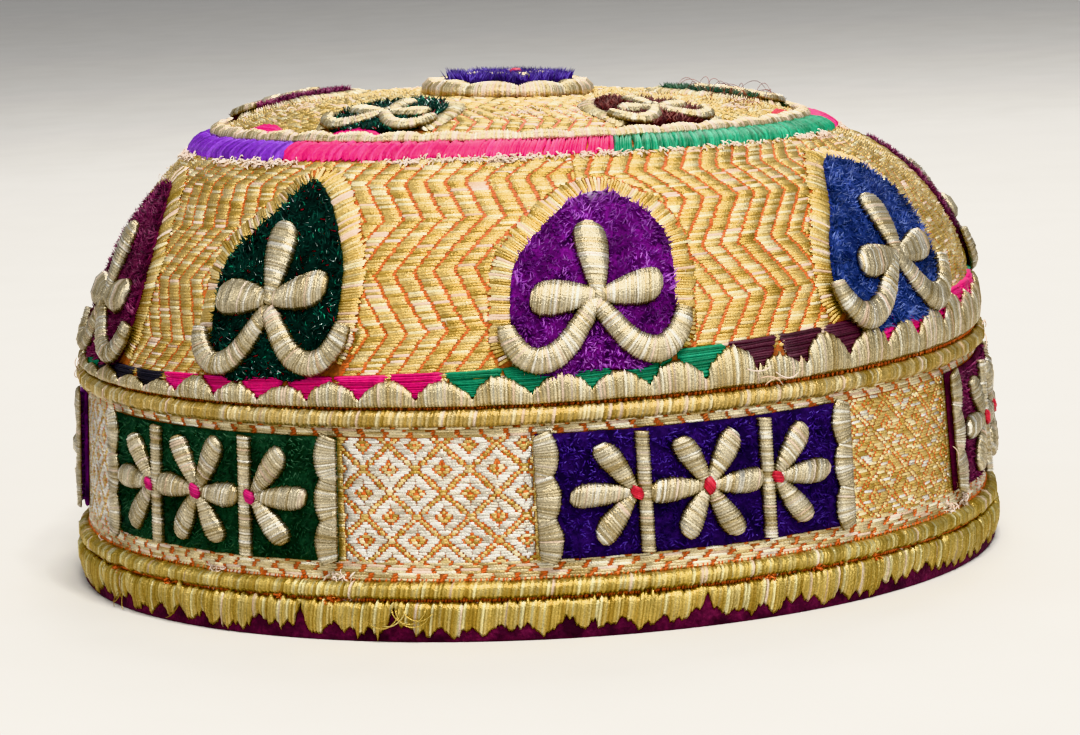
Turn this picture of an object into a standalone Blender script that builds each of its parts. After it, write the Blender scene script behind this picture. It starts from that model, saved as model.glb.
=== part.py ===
"""Round embroidered skullcap standing on its rim, front towards -Y. Metres, +Z up, floor at z = 0.

Everything lies on one surface: a point is given by its angle from the front towards +X, its run, which is the
way up the outside of the cloth from the floor to the middle of the top, and its lift off the cloth.
"""

import bisect
import math

import bmesh
import bpy
from mathutils import Vector

# The cloth shell.
RIM_RADIUS = 0.0906
SEAM_RADIUS = 0.0886
SEAM_HEIGHT = 0.0430
CAP_HEIGHT = 0.0916
CROWN_WALL = 4.25
CROWN_RISE = 1.655
SIDE_WALL = -0.317
SIDE_RISE = 0.441
WALL = 0.0030
LEAN_SIDE = 0.0039
LEAN_BACK = -0.0032
SEGMENTS = 40
GAP = 0.0003

# Trims round the rim and the seam: runs are measured from the floor, and the seam piping's from the seam.
BINDING_HEIGHT = 0.0068
BINDING_WALL = 0.0010
RIM_REST = 0.0012
EDGING_TOP = 0.0074
EDGING_DEPTH = 0.0050
EDGING_RISE = 0.0010
EDGING_POINTS = 50
PIPING_WIDTH = 0.0032
PIPING_RISE = 0.0021
RIM_PIPING_RUN = 0.0094
SEAM_PIPING_BELOW_SEAM = 0.00195
SCALLOP_COUNT = 52
SCALLOP_DEPTH = 0.0050
SCALLOP_RISE = 0.0013
SILK_DEPTH = 0.0046

# Round top: radii are measured from the middle of the top.
RING_OUTER = 0.0644
RING_WIDTH = 0.0044
RING_RISE = 0.0012
TOP_CORD_WIDTH = 0.0034
TOP_CORD_RISE = 0.0014
MEDALLION_RADIUS = 0.0168
MEDALLION_BORDER = 0.0036
MEDALLION_RISE = 0.0012
MEDALLION_MARGIN = 0.0032
MEDALLION_LOBES = 8

# Velvet patches and the padded gold work on them.
VELVET = 0.0008
PATCH_LIFT = 0.0006
PAD_RISE = 0.0016
PANEL_WIDTH = 0.0620
PANEL_HEIGHT = 0.0230
PANEL_RUN = 0.0261
PANEL_ANGLES = (20.0, 82.5, 141.0, 199.0, 257.5, 316.0)
FLOWER_RADIUS = 0.0103
PETAL_WIDTH = 0.0042
BAR_OFFSET = 0.0119
BAR_WIDTH = 0.0036
STRIP_WIDTH = 0.0045
HEART_WIDTH = 0.0320
HEART_HEIGHT = 0.0350
HEART_CLEARANCE = 0.00065
HEART_ANGLES = (8.0, 53.0, 99.5, 146.0, 193.0, 240.0, 287.5, 326.0)
TOP_HEART_SCALE = 0.68
TOP_HEART_ANGLES = (33.0, 107.0, 181.0, 255.0, 329.0)
TREFOIL_RADIUS = 0.0122
TREFOIL_PETAL = 0.0062
HEART_CORD_WIDTH = 0.0040

# One heart, as shares of its width and height from the middle of its base: right side, from the base upwards.
HEART_SIDE = (
    # across, up
    (0.360, 0.000),
    (0.480, 0.200),
    (0.475, 0.460),
    (0.365, 0.715),
    (0.190, 0.895),
)
# Middle line of the gold cord under it, from the centre of the trefoil to its right end.
CORD_SIDE = (
    # across, up
    (0.000, 0.285),
    (0.130, 0.155),
    (0.270, 0.048),
    (0.410, 0.046),
    (0.540, 0.185),
)
# The three scalloped bulges of the strip at a panel's end: share of the panel's height, share of full width.
STRIP_STEPS = (
    # up, width
    (0.00, 0.80),
    (0.17, 1.00),
    (0.33, 0.62),
    (0.50, 1.00),
    (0.67, 0.62),
    (0.83, 1.00),
    (1.00, 0.80),
)

COLOURS = {
    "brocade": (0.62, 0.46, 0.17),
    "gold": (0.72, 0.60, 0.30),
    "silver_gold": (0.66, 0.58, 0.40),
    "maroon": (0.13, 0.03, 0.06),
    "violet": (0.05, 0.02, 0.20),
    "green": (0.03, 0.10, 0.04),
    "purple": (0.13, 0.02, 0.28),
    "blue": (0.03, 0.05, 0.30),
    "dark": (0.01, 0.03, 0.025),
    "brown": (0.08, 0.025, 0.025),
    "pink": (0.80, 0.02, 0.22),
}


def clear_scene():
    for obj in list(bpy.data.objects):
        bpy.data.objects.remove(obj, do_unlink=True)


def crown_point(turn, side):
    """Radius and height of the crown at a turn of 0 at the seam to a quarter circle at the top.

    Side is -1 at the left, where the crown's wall is straighter, to 1 at the right, where it is rounder.
    """
    radius = SEAM_RADIUS * max(math.cos(turn), 0.0) ** (2.0 / (CROWN_WALL + SIDE_WALL * side))
    climb = math.sin(turn) ** (2.0 / (CROWN_RISE + SIDE_RISE * side))
    return radius, SEAM_HEIGHT + (CAP_HEIGHT - SEAM_HEIGHT) * climb


def build_profile():
    """Runs of the cloth's outside, and the crown's turn at each: closer together towards the top."""
    steps = 240
    turns = [0.5 * math.pi * (1.0 - (1.0 - i / steps) ** 2.13) for i in range(steps + 1)]
    rows = [crown_point(turn, 0.0) for turn in turns]
    rows[-1] = (0.0, CAP_HEIGHT)
    runs = [math.hypot(RIM_RADIUS - SEAM_RADIUS, SEAM_HEIGHT)]
    for (r0, z0), (r1, z1) in zip(rows, rows[1:]):
        runs.append(runs[-1] + math.hypot(r1 - r0, z1 - z0))
    return runs, turns


RUNS, TURNS = build_profile()
TOTAL_RUN = RUNS[-1]
SEAM_RUN = RUNS[0]


def profile(run, side=0.0):
    """Radius and height of the cloth's outside at this run: a straight band, then the crown."""
    run = min(max(run, 0.0), TOTAL_RUN)
    if run <= SEAM_RUN:
        share = run / SEAM_RUN
        return RIM_RADIUS + (SEAM_RADIUS - RIM_RADIUS) * share, SEAM_HEIGHT * share
    if run == TOTAL_RUN:
        return 0.0, CAP_HEIGHT
    i = min(max(bisect.bisect_right(RUNS, run) - 1, 0), len(RUNS) - 2)
    share = (run - RUNS[i]) / (RUNS[i + 1] - RUNS[i])
    return crown_point(TURNS[i] + (TURNS[i + 1] - TURNS[i]) * share, side)


def run_at_radius(radius):
    """Run of the point of the crown at this distance from the middle line."""
    low, high = SEAM_RUN, TOTAL_RUN
    for _ in range(50):
        middle = 0.5 * (low + high)
        if profile(middle)[0] > radius:
            low = middle
        else:
            high = middle
    return low


def surface(angle, run, lift):
    """The point at this angle, run and lift, with the crown tipped a little to the back and the right."""
    side = math.sin(angle)
    radius, height = profile(run, side)
    r0, z0 = profile(run - 0.001, side)
    r1, z1 = profile(run + 0.001, side)
    slope = math.hypot(r1 - r0, z1 - z0)
    if run > TOTAL_RUN - 0.0005:
        out_r, out_z = 0.0, 1.0
    else:
        out_r, out_z = (z1 - z0) / slope, (r0 - r1) / slope
    # The rim is cut level, so that the cap stands flat.
    out_z *= min(run / 0.004, 1.0)
    radius += lift * out_r
    height += lift * out_z
    x, y = radius * math.sin(angle), -radius * math.cos(angle)
    share = min(max((height - SEAM_HEIGHT) / (CAP_HEIGHT - SEAM_HEIGHT), 0.0), 1.0)
    share = share * share * (3.0 - 2.0 * share)
    return Vector((x, y, height + share * (LEAN_BACK * y - LEAN_SIDE * x) / SEAM_RADIUS))


def on_cloth(middle, across, run, lift):
    """The point this far across from a middle angle, measured along the cloth at that run."""
    return surface(middle + across / profile(run)[0], run, lift)


def add_material(name, colour, metallic):
    material = bpy.data.materials.new(name)
    material.use_nodes = True
    shader = material.node_tree.nodes["Principled BSDF"]
    shader.inputs["Base Color"].default_value = (*COLOURS[colour], 1.0)
    shader.inputs["Metallic"].default_value = metallic
    shader.inputs["Roughness"].default_value = 0.45 if metallic else 0.9
    return material


def add_solid(name, points, faces, colour, metallic=0.0):
    mesh = bpy.data.meshes.new(name)
    mesh.from_pydata([tuple(p) for p in points], [], faces)
    bm = bmesh.new()
    bm.from_mesh(mesh)
    bmesh.ops.recalc_face_normals(bm, faces=bm.faces)
    bm.to_mesh(mesh)
    bm.free()
    for polygon in mesh.polygons:
        polygon.use_smooth = True
    obj = bpy.data.objects.new(name, mesh)
    bpy.context.scene.collection.objects.link(obj)
    mesh.materials.append(add_material(name, colour, metallic))
    return obj


def add_ring(name, columns, section, colour, metallic=0.0):
    """A closed ring whose cross-section at each column is a loop of (run, lift)."""
    points, faces = [], []
    for i in range(columns):
        loop = section(i)
        points += [surface(2.0 * math.pi * i / columns, run, lift) for run, lift in loop]
    count = len(section(0))
    for i in range(columns):
        here, there = i * count, (i + 1) % columns * count
        for k in range(count):
            n = (k + 1) % count
            faces.append((here + k, here + n, there + n, there + k))
    return add_solid(name, points, faces, colour, metallic)


def add_shell(name, low, high, steps):
    """The cloth between two runs, open at both ends."""
    runs = [low + (high - low) * i / steps for i in range(steps + 1)]
    loop = [(run, 0.0) for run in runs] + [(run, -WALL) for run in reversed(runs)]
    return add_ring(name, SEGMENTS, lambda i: loop, "brocade", 0.6)


def add_lid(name, low, shares, lift, wall, columns, colour, metallic=0.0):
    """A domed round piece about the middle of the top, from the run low inwards."""
    runs = [low + (TOTAL_RUN - low) * share for share in shares]
    points, faces = [], []
    for height in (lift, lift - wall):
        for run in runs:
            points += [surface(2.0 * math.pi * i / columns, run, height) for i in range(columns)]
    layers = len(runs)
    tip = len(points)
    points += [surface(0.0, TOTAL_RUN, lift), surface(0.0, TOTAL_RUN, lift - wall)]
    for i in range(columns):
        j = (i + 1) % columns
        for side in (0, 1):
            start = side * layers * columns
            for k in range(layers - 1):
                a, b = start + k * columns, start + (k + 1) * columns
                faces.append((a + i, a + j, b + j, b + i))
            last = start + (layers - 1) * columns
            faces.append((last + i, last + j, tip + side))
        inner = layers * columns
        faces.append((i, j, inner + j, inner + i))
    return add_solid(name, points, faces, colour, metallic)


def patch_mesh(middle, outline, centre, low, high):
    """A flat patch: outline of (across, run), seen whole from its centre."""
    count = len(outline)
    points, faces = [], []
    for lift in (low, high):
        points.append(on_cloth(middle, *centre, lift))
        for share in (0.52, 1.0):
            points += [
                on_cloth(
                    middle,
                    centre[0] + (u - centre[0]) * share,
                    centre[1] + (v - centre[1]) * share,
                    lift,
                )
                for u, v in outline
            ]
    layer = 1 + 2 * count
    for i in range(count):
        j = (i + 1) % count
        for base in (0, layer):
            faces.append((base, base + 1 + i, base + 1 + j))
            faces.append((base + 1 + i, base + 1 + j, base + 1 + count + j, base + 1 + count + i))
        edge = 1 + count
        faces.append((edge + i, edge + j, layer + edge + j, layer + edge + i))
    return points, faces


def petals_mesh(middle, centre, lobes, width, lift, rise):
    """Padded petals that meet at a centre. lobes holds each petal's (direction, length), anticlockwise."""
    outline = []
    half = 0.5 * width
    for index, (turn, length) in enumerate(lobes):
        far = 0.66 * length
        side = math.atan2(half, far)
        reach = math.hypot(half, far)
        tip = math.atan2(0.42 * half, length)
        outline += [
            (turn - side, reach, 0.75),
            (turn - tip, length, 0.85),
            (turn + tip, length, 0.85),
            (turn + side, reach, 0.75),
        ]
        following = lobes[(index + 1) % len(lobes)][0]
        opening = (following - turn) % (2.0 * math.pi)
        if opening < 1.6:
            valley = 0.62 * half / math.sin(0.5 * opening)
            outline.append((turn + 0.5 * opening, valley, 0.2))
        else:
            outline.append((turn + 1.25, 0.9 * half, 0.3))
            outline.append((turn + 0.5 * opening, 0.7 * half, 0.3))
            outline.append((following - 1.25, 0.9 * half, 0.3))
    count = len(outline)
    points = []

    def place(turn, reach, height):
        return on_cloth(
            middle, centre[0] + reach * math.cos(turn), centre[1] + reach * math.sin(turn), height
        )

    points.append(on_cloth(middle, *centre, lift))
    points += [place(turn, reach, lift) for turn, reach, _ in outline]
    points += [place(turn, 0.60 * reach, lift + rise * share) for turn, reach, share in outline]
    points.append(on_cloth(middle, *centre, lift + 0.65 * rise))
    edge, high, top = 1, 1 + count, 1 + 2 * count
    faces = []
    for i in range(count):
        j = (i + 1) % count
        faces.append((0, edge + i, edge + j))
        faces.append((edge + i, edge + j, high + j, high + i))
        faces.append((high + i, high + j, top))
    return points, faces


def ribbon_mesh(middle, path, widths, lift, rise, back=(-0.45, 0.45)):
    """A padded satin cord along a path of (across, run). back holds the raised lines, as shares of half its width."""
    points, faces = [], []
    last = len(path) - 1
    for i, (u, v) in enumerate(path):
        before, after = path[max(i - 1, 0)], path[min(i + 1, last)]
        along = math.hypot(after[0] - before[0], after[1] - before[1])
        side = (-(after[1] - before[1]) / along, (after[0] - before[0]) / along)
        half = 0.5 * widths[i]
        taper = 0.6 if i in (0, last) else 1.0
        section = [(-1.0, 0.0)] + [(share, rise) for share in back] + [(1.0, 0.0)]
        for share, height in section:
            offset = half * share
            points.append(
                on_cloth(middle, u + side[0] * offset, v + side[1] * offset, lift + height * taper)
            )
    count = len(back) + 2
    for i in range(last):
        for k in range(count):
            n = (k + 1) % count
            here = count * i
            faces.append((here + k, here + n, here + count + n, here + count + k))
    faces.append(tuple(range(count)))
    faces.append(tuple(count * last + k for k in reversed(range(count))))
    return points, faces


def add_union(name, first, others, colour, metallic):
    """One body out of overlapping shapes: the others are joined to the first by Booleans."""
    obj = add_solid(name, *first, colour, metallic)
    for index, shape in enumerate(others):
        helper = add_solid(f"{name}_join_{index}", *shape, colour, metallic)
        helper.hide_render = True
        helper.display_type = "WIRE"
        boolean = obj.modifiers.new(f"join_{index}", "BOOLEAN")
        boolean.operation = "UNION"
        boolean.solver = "EXACT"
        boolean.object = helper
    return obj


def add_shells():
    ring_run = run_at_radius(RING_OUTER - 0.5 * RING_WIDTH)
    add_shell("band", RIM_REST + GAP, SEAM_RUN - 0.5 * GAP, 1)
    add_shell("crown_side", SEAM_RUN + 0.5 * GAP, ring_run - 0.5 * GAP, 4)
    add_lid("crown_top", ring_run + 0.5 * GAP, (0.0, 0.3, 0.62), 0.0, WALL, SEGMENTS, "brocade", 0.6)


def add_rim():
    inside, outside = -WALL - GAP, GAP
    cloth = RIM_REST + GAP
    binding = [
        (0.0, outside + BINDING_WALL),
        (BINDING_HEIGHT, outside + BINDING_WALL),
        (BINDING_HEIGHT, outside),
        (cloth - GAP, outside),
        (cloth - GAP, inside),
        (cloth + 0.6 * BINDING_HEIGHT, inside),
        (cloth + 0.6 * BINDING_HEIGHT, inside - BINDING_WALL),
        (0.0, inside - BINDING_WALL),
    ]
    add_ring("rim_binding", SEGMENTS, lambda i: binding, "maroon")

    base = outside + BINDING_WALL + GAP
    columns = 2 * EDGING_POINTS

    def points_section(i):
        depth = EDGING_DEPTH * (1.0 if i % 2 else 0.55)
        low = EDGING_TOP - depth
        return [(low, base), (low + 0.6 * depth, base + EDGING_RISE), (EDGING_TOP, base)]

    add_ring("rim_edging", columns, points_section, "gold", 0.8)
    seam_piping_run = SEAM_RUN - SEAM_PIPING_BELOW_SEAM
    for name, run in (("rim_piping", RIM_PIPING_RUN), ("seam_piping", seam_piping_run)):
        half = 0.5 * PIPING_WIDTH
        loop = [
            (run - half, GAP),
            (run - 0.6 * half, GAP + 0.85 * PIPING_RISE),
            (run + 0.6 * half, GAP + 0.85 * PIPING_RISE),
            (run + half, GAP),
        ]
        add_ring(name, SEGMENTS, lambda i, loop=loop: loop, "gold", 0.8)


def add_seam():
    start = SEAM_RUN + 1.5 * GAP
    silk = [(start, GAP), (start + 0.5 * SILK_DEPTH, 2.6 * GAP), (start + SILK_DEPTH, GAP)]
    add_ring("seam_silk", SEGMENTS, lambda i: silk, "pink")
    shares = (0.45, 1.0, 1.0)
    base = 3.6 * GAP

    def scallop(i):
        top = SEAM_RUN + GAP + SCALLOP_DEPTH * shares[i % 3]
        return [
            (SEAM_RUN + GAP, base),
            (0.5 * (SEAM_RUN + top), base + SCALLOP_RISE * (0.6 + 0.4 * shares[i % 3])),
            (top, base),
        ]

    add_ring("seam_scallops", 3 * SCALLOP_COUNT, scallop, "silver_gold", 0.7)


def add_top():
    ring_inner = RING_OUTER - RING_WIDTH
    outer, inner = run_at_radius(RING_OUTER), run_at_radius(ring_inner)
    quarter = 0.25 * (inner - outer)
    loop = [
        (outer, GAP),
        (outer + quarter, GAP + RING_RISE),
        (inner - quarter, GAP + RING_RISE),
        (inner, GAP),
    ]
    add_ring("top_silk_ring", SEGMENTS, lambda i: loop, "pink")
    start = inner + GAP
    end = start + TOP_CORD_WIDTH
    cord = [(start, GAP), (start + 0.5 * TOP_CORD_WIDTH, GAP + TOP_CORD_RISE), (end, GAP)]
    add_ring("top_cord", SEGMENTS, lambda i: cord, "gold", 0.8)

    border_lift = PATCH_LIFT + VELVET + GAP
    add_lid(
        "medallion",
        run_at_radius(MEDALLION_RADIUS - 0.0006),
        (0.0, 0.5),
        PATCH_LIFT + VELVET,
        VELVET,
        16,
        "violet",
    )
    edge = run_at_radius(MEDALLION_RADIUS)
    columns = 4 * MEDALLION_LOBES

    def border(i):
        share = (0.7, 0.92, 1.0, 0.92)[i % 4]
        return [
            (edge, border_lift),
            (edge + 0.5 * MEDALLION_BORDER * share, border_lift + MEDALLION_RISE),
            (edge + MEDALLION_BORDER * share, border_lift),
        ]

    add_ring("medallion_border", columns, border, "gold", 0.8)
    reach = MEDALLION_RADIUS - MEDALLION_BORDER - MEDALLION_MARGIN
    points, faces = [], []
    columns = 24
    shares = (0.32, 0.72, 0.97, 1.0, 0.97, 0.72)
    for ring_share, lifted in ((1.0, False), (0.55, True)):
        for i in range(columns):
            radius = reach * shares[i % 6] * ring_share
            rise = 0.9 * MEDALLION_RISE * shares[i % 6] if lifted else 0.0
            points.append(surface(2.0 * math.pi * i / columns, TOTAL_RUN - radius, border_lift + rise))
    middle = len(points)
    points += [surface(0.0, TOTAL_RUN, border_lift), surface(0.0, TOTAL_RUN, border_lift + 0.65 * MEDALLION_RISE)]
    for i in range(columns):
        j = (i + 1) % columns
        faces.append((middle, i, j))
        faces.append((i, j, columns + j, columns + i))
        faces.append((columns + i, columns + j, middle + 1))
    add_solid("medallion_flower", points, faces, "gold", 0.8)


def heart_shapes(middle, width, height, run, scale):
    """The velvet patch of one heart, and the trefoil and cord over it."""
    right = [(u * width, run + v * height) for u, v in HEART_SIDE]
    left = [(-u, v) for u, v in reversed(right)]
    outline = [(0.0, run)] + right + [(0.0, run + height)] + left
    patch = patch_mesh(middle, outline, (0.0, run + 0.42 * height), PATCH_LIFT, PATCH_LIFT + VELVET)
    lift = PATCH_LIFT + VELVET + GAP
    centre = (0.0, run + 0.345 * height)
    length = TREFOIL_RADIUS * scale
    lobes = [
        (math.radians(5.0), 0.95 * length),
        (math.radians(90.0), length),
        (math.radians(177.0), length),
    ]
    petals = petals_mesh(middle, centre, lobes, TREFOIL_PETAL * scale, lift + 0.0004, PAD_RISE)
    half = [(u * width, run + v * height) for u, v in CORD_SIDE]
    path = [(-u, v) for u, v in reversed(half)] + half[1:]
    cord = ribbon_mesh(middle, path, [HEART_CORD_WIDTH * scale] * len(path), lift, 0.9 * PAD_RISE)
    return patch, petals, cord


def add_hearts():
    velvets = ("purple", "blue", "maroon", "green", "violet", "brown", "maroon", "dark")
    heart_run = SEAM_RUN + GAP + SCALLOP_DEPTH + HEART_CLEARANCE
    for index, (angle, colour) in enumerate(zip(HEART_ANGLES, velvets), 1):
        patch, petals, cord = heart_shapes(
            math.radians(angle), HEART_WIDTH, HEART_HEIGHT, heart_run, 1.0
        )
        add_solid(f"heart_{index}", *patch, colour)
        add_union(f"trefoil_{index}", cord, [petals], "silver_gold", 0.8)
    base = run_at_radius(RING_OUTER - RING_WIDTH) + TOP_CORD_WIDTH + 3.0 * GAP
    velvets = ("brown", "green", "blue", "maroon", "dark")
    for index, (angle, colour) in enumerate(zip(TOP_HEART_ANGLES, velvets), 1):
        patch, petals, cord = heart_shapes(
            math.radians(angle),
            HEART_WIDTH * TOP_HEART_SCALE,
            HEART_HEIGHT * TOP_HEART_SCALE,
            base,
            TOP_HEART_SCALE,
        )
        add_solid(f"top_heart_{index}", *patch, colour)
        add_union(f"top_trefoil_{index}", cord, [petals], "silver_gold", 0.8)


def panel_mesh(middle, low, high):
    """The velvet rectangle of one panel."""
    across, up = 5, 1
    points, faces = [], []
    for lift in (low, high):
        for k in range(up + 1):
            for i in range(across + 1):
                points.append(
                    on_cloth(
                        middle,
                        PANEL_WIDTH * (i / across - 0.5),
                        PANEL_RUN + PANEL_HEIGHT * (k / up - 0.5),
                        lift,
                    )
                )
    row = across + 1
    layer = row * (up + 1)
    for k in range(up):
        for i in range(across):
            a = k * row + i
            for base in (0, layer):
                faces.append((base + a, base + a + 1, base + a + row + 1, base + a + row))
    border = [i for i in range(row)] + [k * row + across for k in range(1, up + 1)]
    border += [up * row + i for i in range(across - 1, -1, -1)] + [k * row for k in range(up - 1, 0, -1)]
    for a, b in zip(border, border[1:] + border[:1]):
        faces.append((a, b, b + layer, a + layer))
    return points, faces


def add_panels():
    velvets = ("violet", "maroon", "blue", "green", "purple", "green")
    low = PATCH_LIFT
    lift = PATCH_LIFT + VELVET + GAP
    bottom = PANEL_RUN - 0.5 * PANEL_HEIGHT
    for index, (angle, colour) in enumerate(zip(PANEL_ANGLES, velvets), 1):
        middle = math.radians(angle)
        add_solid(f"panel_{index}", *panel_mesh(middle, low, low + VELVET), colour)
        lobes = [(math.radians(60.0 * k), FLOWER_RADIUS) for k in range(6)]
        flower = petals_mesh(middle, (0.0, PANEL_RUN), lobes, PETAL_WIDTH, lift + 0.0001, PAD_RISE)
        shapes = []
        knot = BAR_OFFSET + 0.45 * BAR_WIDTH
        strip_edge = 0.5 * PANEL_WIDTH - STRIP_WIDTH
        for side in (1.0, -1.0):
            bar = [(side * BAR_OFFSET, PANEL_RUN + PANEL_HEIGHT * share) for share in (-0.48, 0.48)]
            shapes.append(ribbon_mesh(middle, bar, [BAR_WIDTH] * 2, lift, PAD_RISE))
            reach = strip_edge - knot + 0.0008
            turns = [(-55.0, FLOWER_RADIUS), (0.0, reach), (55.0, FLOWER_RADIUS)]
            if side < 0.0:
                turns = [(180.0 + turn, length) for turn, length in turns]
            half_lobes = [(math.radians(turn), length) for turn, length in turns]
            shapes.append(
                petals_mesh(
                    middle, (side * knot, PANEL_RUN), half_lobes, PETAL_WIDTH, lift + 0.0001, PAD_RISE
                )
            )
            widths = [STRIP_WIDTH * share for _, share in STRIP_STEPS]
            strip = [
                (side * (0.5 * PANEL_WIDTH - 0.5 * width), bottom + PANEL_HEIGHT * up)
                for (up, _), width in zip(STRIP_STEPS, widths)
            ]
            shapes.append(ribbon_mesh(middle, strip, widths, lift, 0.7 * PAD_RISE, (0.0,)))
        add_union(f"panel_flowers_{index}", flower, shapes, "silver_gold", 0.8)


clear_scene()
add_shells()
add_rim()
add_seam()
add_top()
add_hearts()
add_panels()
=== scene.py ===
# Embroidered skullcap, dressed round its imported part. Metres in the scene, millimetres in the sizes below.
# Every piece is drawn on the cap's own cloth: an angle from the front towards +X, a run (the way up the
# outside of the cloth from the floor to the middle of the top) and a lift off the cloth.

import math

import bmesh
import bpy
import numpy as np
from mathutils import Matrix, Vector, noise


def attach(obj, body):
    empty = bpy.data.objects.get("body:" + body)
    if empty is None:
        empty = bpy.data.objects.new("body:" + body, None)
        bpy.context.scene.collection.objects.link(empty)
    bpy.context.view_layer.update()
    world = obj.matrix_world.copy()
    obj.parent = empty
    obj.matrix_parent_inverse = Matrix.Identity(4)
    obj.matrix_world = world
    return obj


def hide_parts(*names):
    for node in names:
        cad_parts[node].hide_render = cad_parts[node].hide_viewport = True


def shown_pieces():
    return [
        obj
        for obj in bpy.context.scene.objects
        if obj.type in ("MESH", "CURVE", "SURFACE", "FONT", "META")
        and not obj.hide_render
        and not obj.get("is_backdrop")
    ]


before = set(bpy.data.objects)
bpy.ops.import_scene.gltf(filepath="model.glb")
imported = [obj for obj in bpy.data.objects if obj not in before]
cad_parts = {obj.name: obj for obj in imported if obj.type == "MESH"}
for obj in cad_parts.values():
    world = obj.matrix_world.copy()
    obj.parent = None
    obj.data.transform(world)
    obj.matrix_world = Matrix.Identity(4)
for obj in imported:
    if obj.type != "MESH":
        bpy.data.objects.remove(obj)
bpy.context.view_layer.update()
chance = np.random.default_rng(23)
fullTurn = 2.0 * math.pi

# The cap's form.

capForm = {
    "rimRadius": 90.6,
    "seamRadius": 88.6,
    "seamHeight": 43.0,
    "capHeight": 91.6,
    "crownWall": 4.25,
    "crownRise": 1.655,
    "sideWall": -0.317,
    "sideRise": 0.441,
    "leanSide": 3.9,
    "leanBack": -3.2,
    "wall": 3.0,
}
crownHeight = capForm["capHeight"] - capForm["seamHeight"]


def crownPoint(turn, side):
    # Radius and height of the crown: its wall is straighter at the left, where side is -1, than at the right.
    radius = capForm["seamRadius"] * np.clip(np.cos(turn), 0.0, 1.0) ** (
        2.0 / (capForm["crownWall"] + capForm["sideWall"] * side)
    )
    climb = np.sin(turn) ** (2.0 / (capForm["crownRise"] + capForm["sideRise"] * side))
    return radius, capForm["seamHeight"] + crownHeight * climb


turns = 0.5 * math.pi * (1.0 - (1.0 - np.linspace(0.0, 1.0, 241)) ** 2.13)
radii, heights = crownPoint(turns, 0.0)
radii[-1], heights[-1] = 0.0, capForm["capHeight"]
seamRun = math.hypot(capForm["rimRadius"] - capForm["seamRadius"], capForm["seamHeight"])
runs = seamRun + np.concatenate([[0.0], np.cumsum(np.hypot(np.diff(radii), np.diff(heights)))])
topRun = runs[-1]


def section(run, side=0.0):
    # Radius and height of the cloth's outside: a straight band, then the crown.
    radius, height = crownPoint(np.interp(run, runs, turns), side)
    rim, seam = capForm["rimRadius"], capForm["seamRadius"]
    share = run / seamRun
    low = run <= seamRun
    radius = np.where(low, rim + (seam - rim) * share, radius)
    radius = np.where(run >= topRun, 0.0, radius)
    return radius, np.where(low, capForm["seamHeight"] * share, height)


def radiusAt(run):
    return section(np.asarray(run, float))[0]


def runAtRadius(radius):
    return float(np.interp(-radius, -radii, runs))


def onCap(angle, run, lift):
    # Points in metres, one for each angle, run and lift.
    angle, run, lift = np.broadcast_arrays(angle, run, lift)
    side = np.sin(angle)
    radius, height = section(run, side)
    r0, z0 = section(run - 1.0, side)
    r1, z1 = section(np.minimum(run + 1.0, topRun), side)
    slope = np.hypot(r1 - r0, z1 - z0)
    outward = np.where(run > topRun - 0.5, 0.0, (z1 - z0) / slope)
    upward = np.where(run > topRun - 0.5, 1.0, (r0 - r1) / slope) * np.clip(run / 4.0, 0.0, 1.0)
    radius = radius + lift * outward
    height = height + lift * upward
    x, y = radius * np.sin(angle), -radius * np.cos(angle)
    share = np.clip((height - capForm["seamHeight"]) / crownHeight, 0.0, 1.0)
    share = share * share * (3.0 - 2.0 * share)
    lean = (capForm["leanBack"] * y - capForm["leanSide"] * x) / capForm["seamRadius"]
    return np.stack([x, y, np.maximum(height + share * lean, 0.0)], -1) * 0.001


def onPatch(middle):
    # Flat work round a middle angle in degrees: across in mm, run, lift.
    def place(across, run, lift):
        return onCap(math.radians(middle) + across / np.maximum(radiusAt(run), 1.0), run, lift)
    return place


def onTop(across, away, lift):
    # Flat work round the middle of the top: across towards +X and away towards the back, in mm.
    return onCap(np.arctan2(across, -away), topRun - np.hypot(across, away), lift)


def wrapped(angle):
    # The same angle, within half a turn of the front.
    return (angle + math.pi) % fullTurn - math.pi


# Colours and materials.

def toLinear(code):
    parts = [int(code[i:i + 2], 16) / 255.0 for i in (1, 3, 5)]
    return tuple(c / 12.92 if c <= 0.04045 else ((c + 0.055) / 1.055) ** 2.4 for c in parts)


def opaque(code):
    return (*toLinear(code), 1.0)


threadShades = {
    "yellowGold": ("#CCB062", "#DCC682", "#B09046", "#F1E7B0"),
    "paleGold": ("#D0BE94", "#E0D2AE", "#B8A06E", "#F3EBD2"),
    "brocadeGold": ("#CEB06C", "#DDC68E", "#B4944E", "#F2E4B8"),
    "silverGold": ("#C9BA98", "#DACEB2", "#AC986E", "#F5EFDF"),
    "silver": ("#DCD6C8", "#E8E4DA", "#C8BEAA", "#F2EFE8"),
    "wornCream": ("#D9BFA8", "#E4D0BE", "#CBAE92"),
    "cotton": ("#E6D2C0", "#F0E2D4", "#D8C0AA"),
    "orange": ("#C9612C", "#D9773C", "#B4501F"),
    "pink": ("#D81670", "#E42A86", "#C00E5E"),
    "green": ("#17805A", "#22906A", "#106A46"),
    "brown": ("#4A2230", "#5A2E3C", "#3A1A24"),
    "dark": ("#24232B", "#33323C", "#18171E"),
    "ringPurple": ("#6E2CA6", "#8040B8", "#5A208E"),
    "red": ("#C8283A", "#D83A4C", "#A81C2C"),
    "knotPink": ("#CC1A6C", "#DA307E", "#AE0E56"),
    "hair": ("#7A3020", "#8E4028", "#5E2418"),
    "maroon": ("#541A34", "#6A2C46", "#3E1026"),
}


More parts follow.
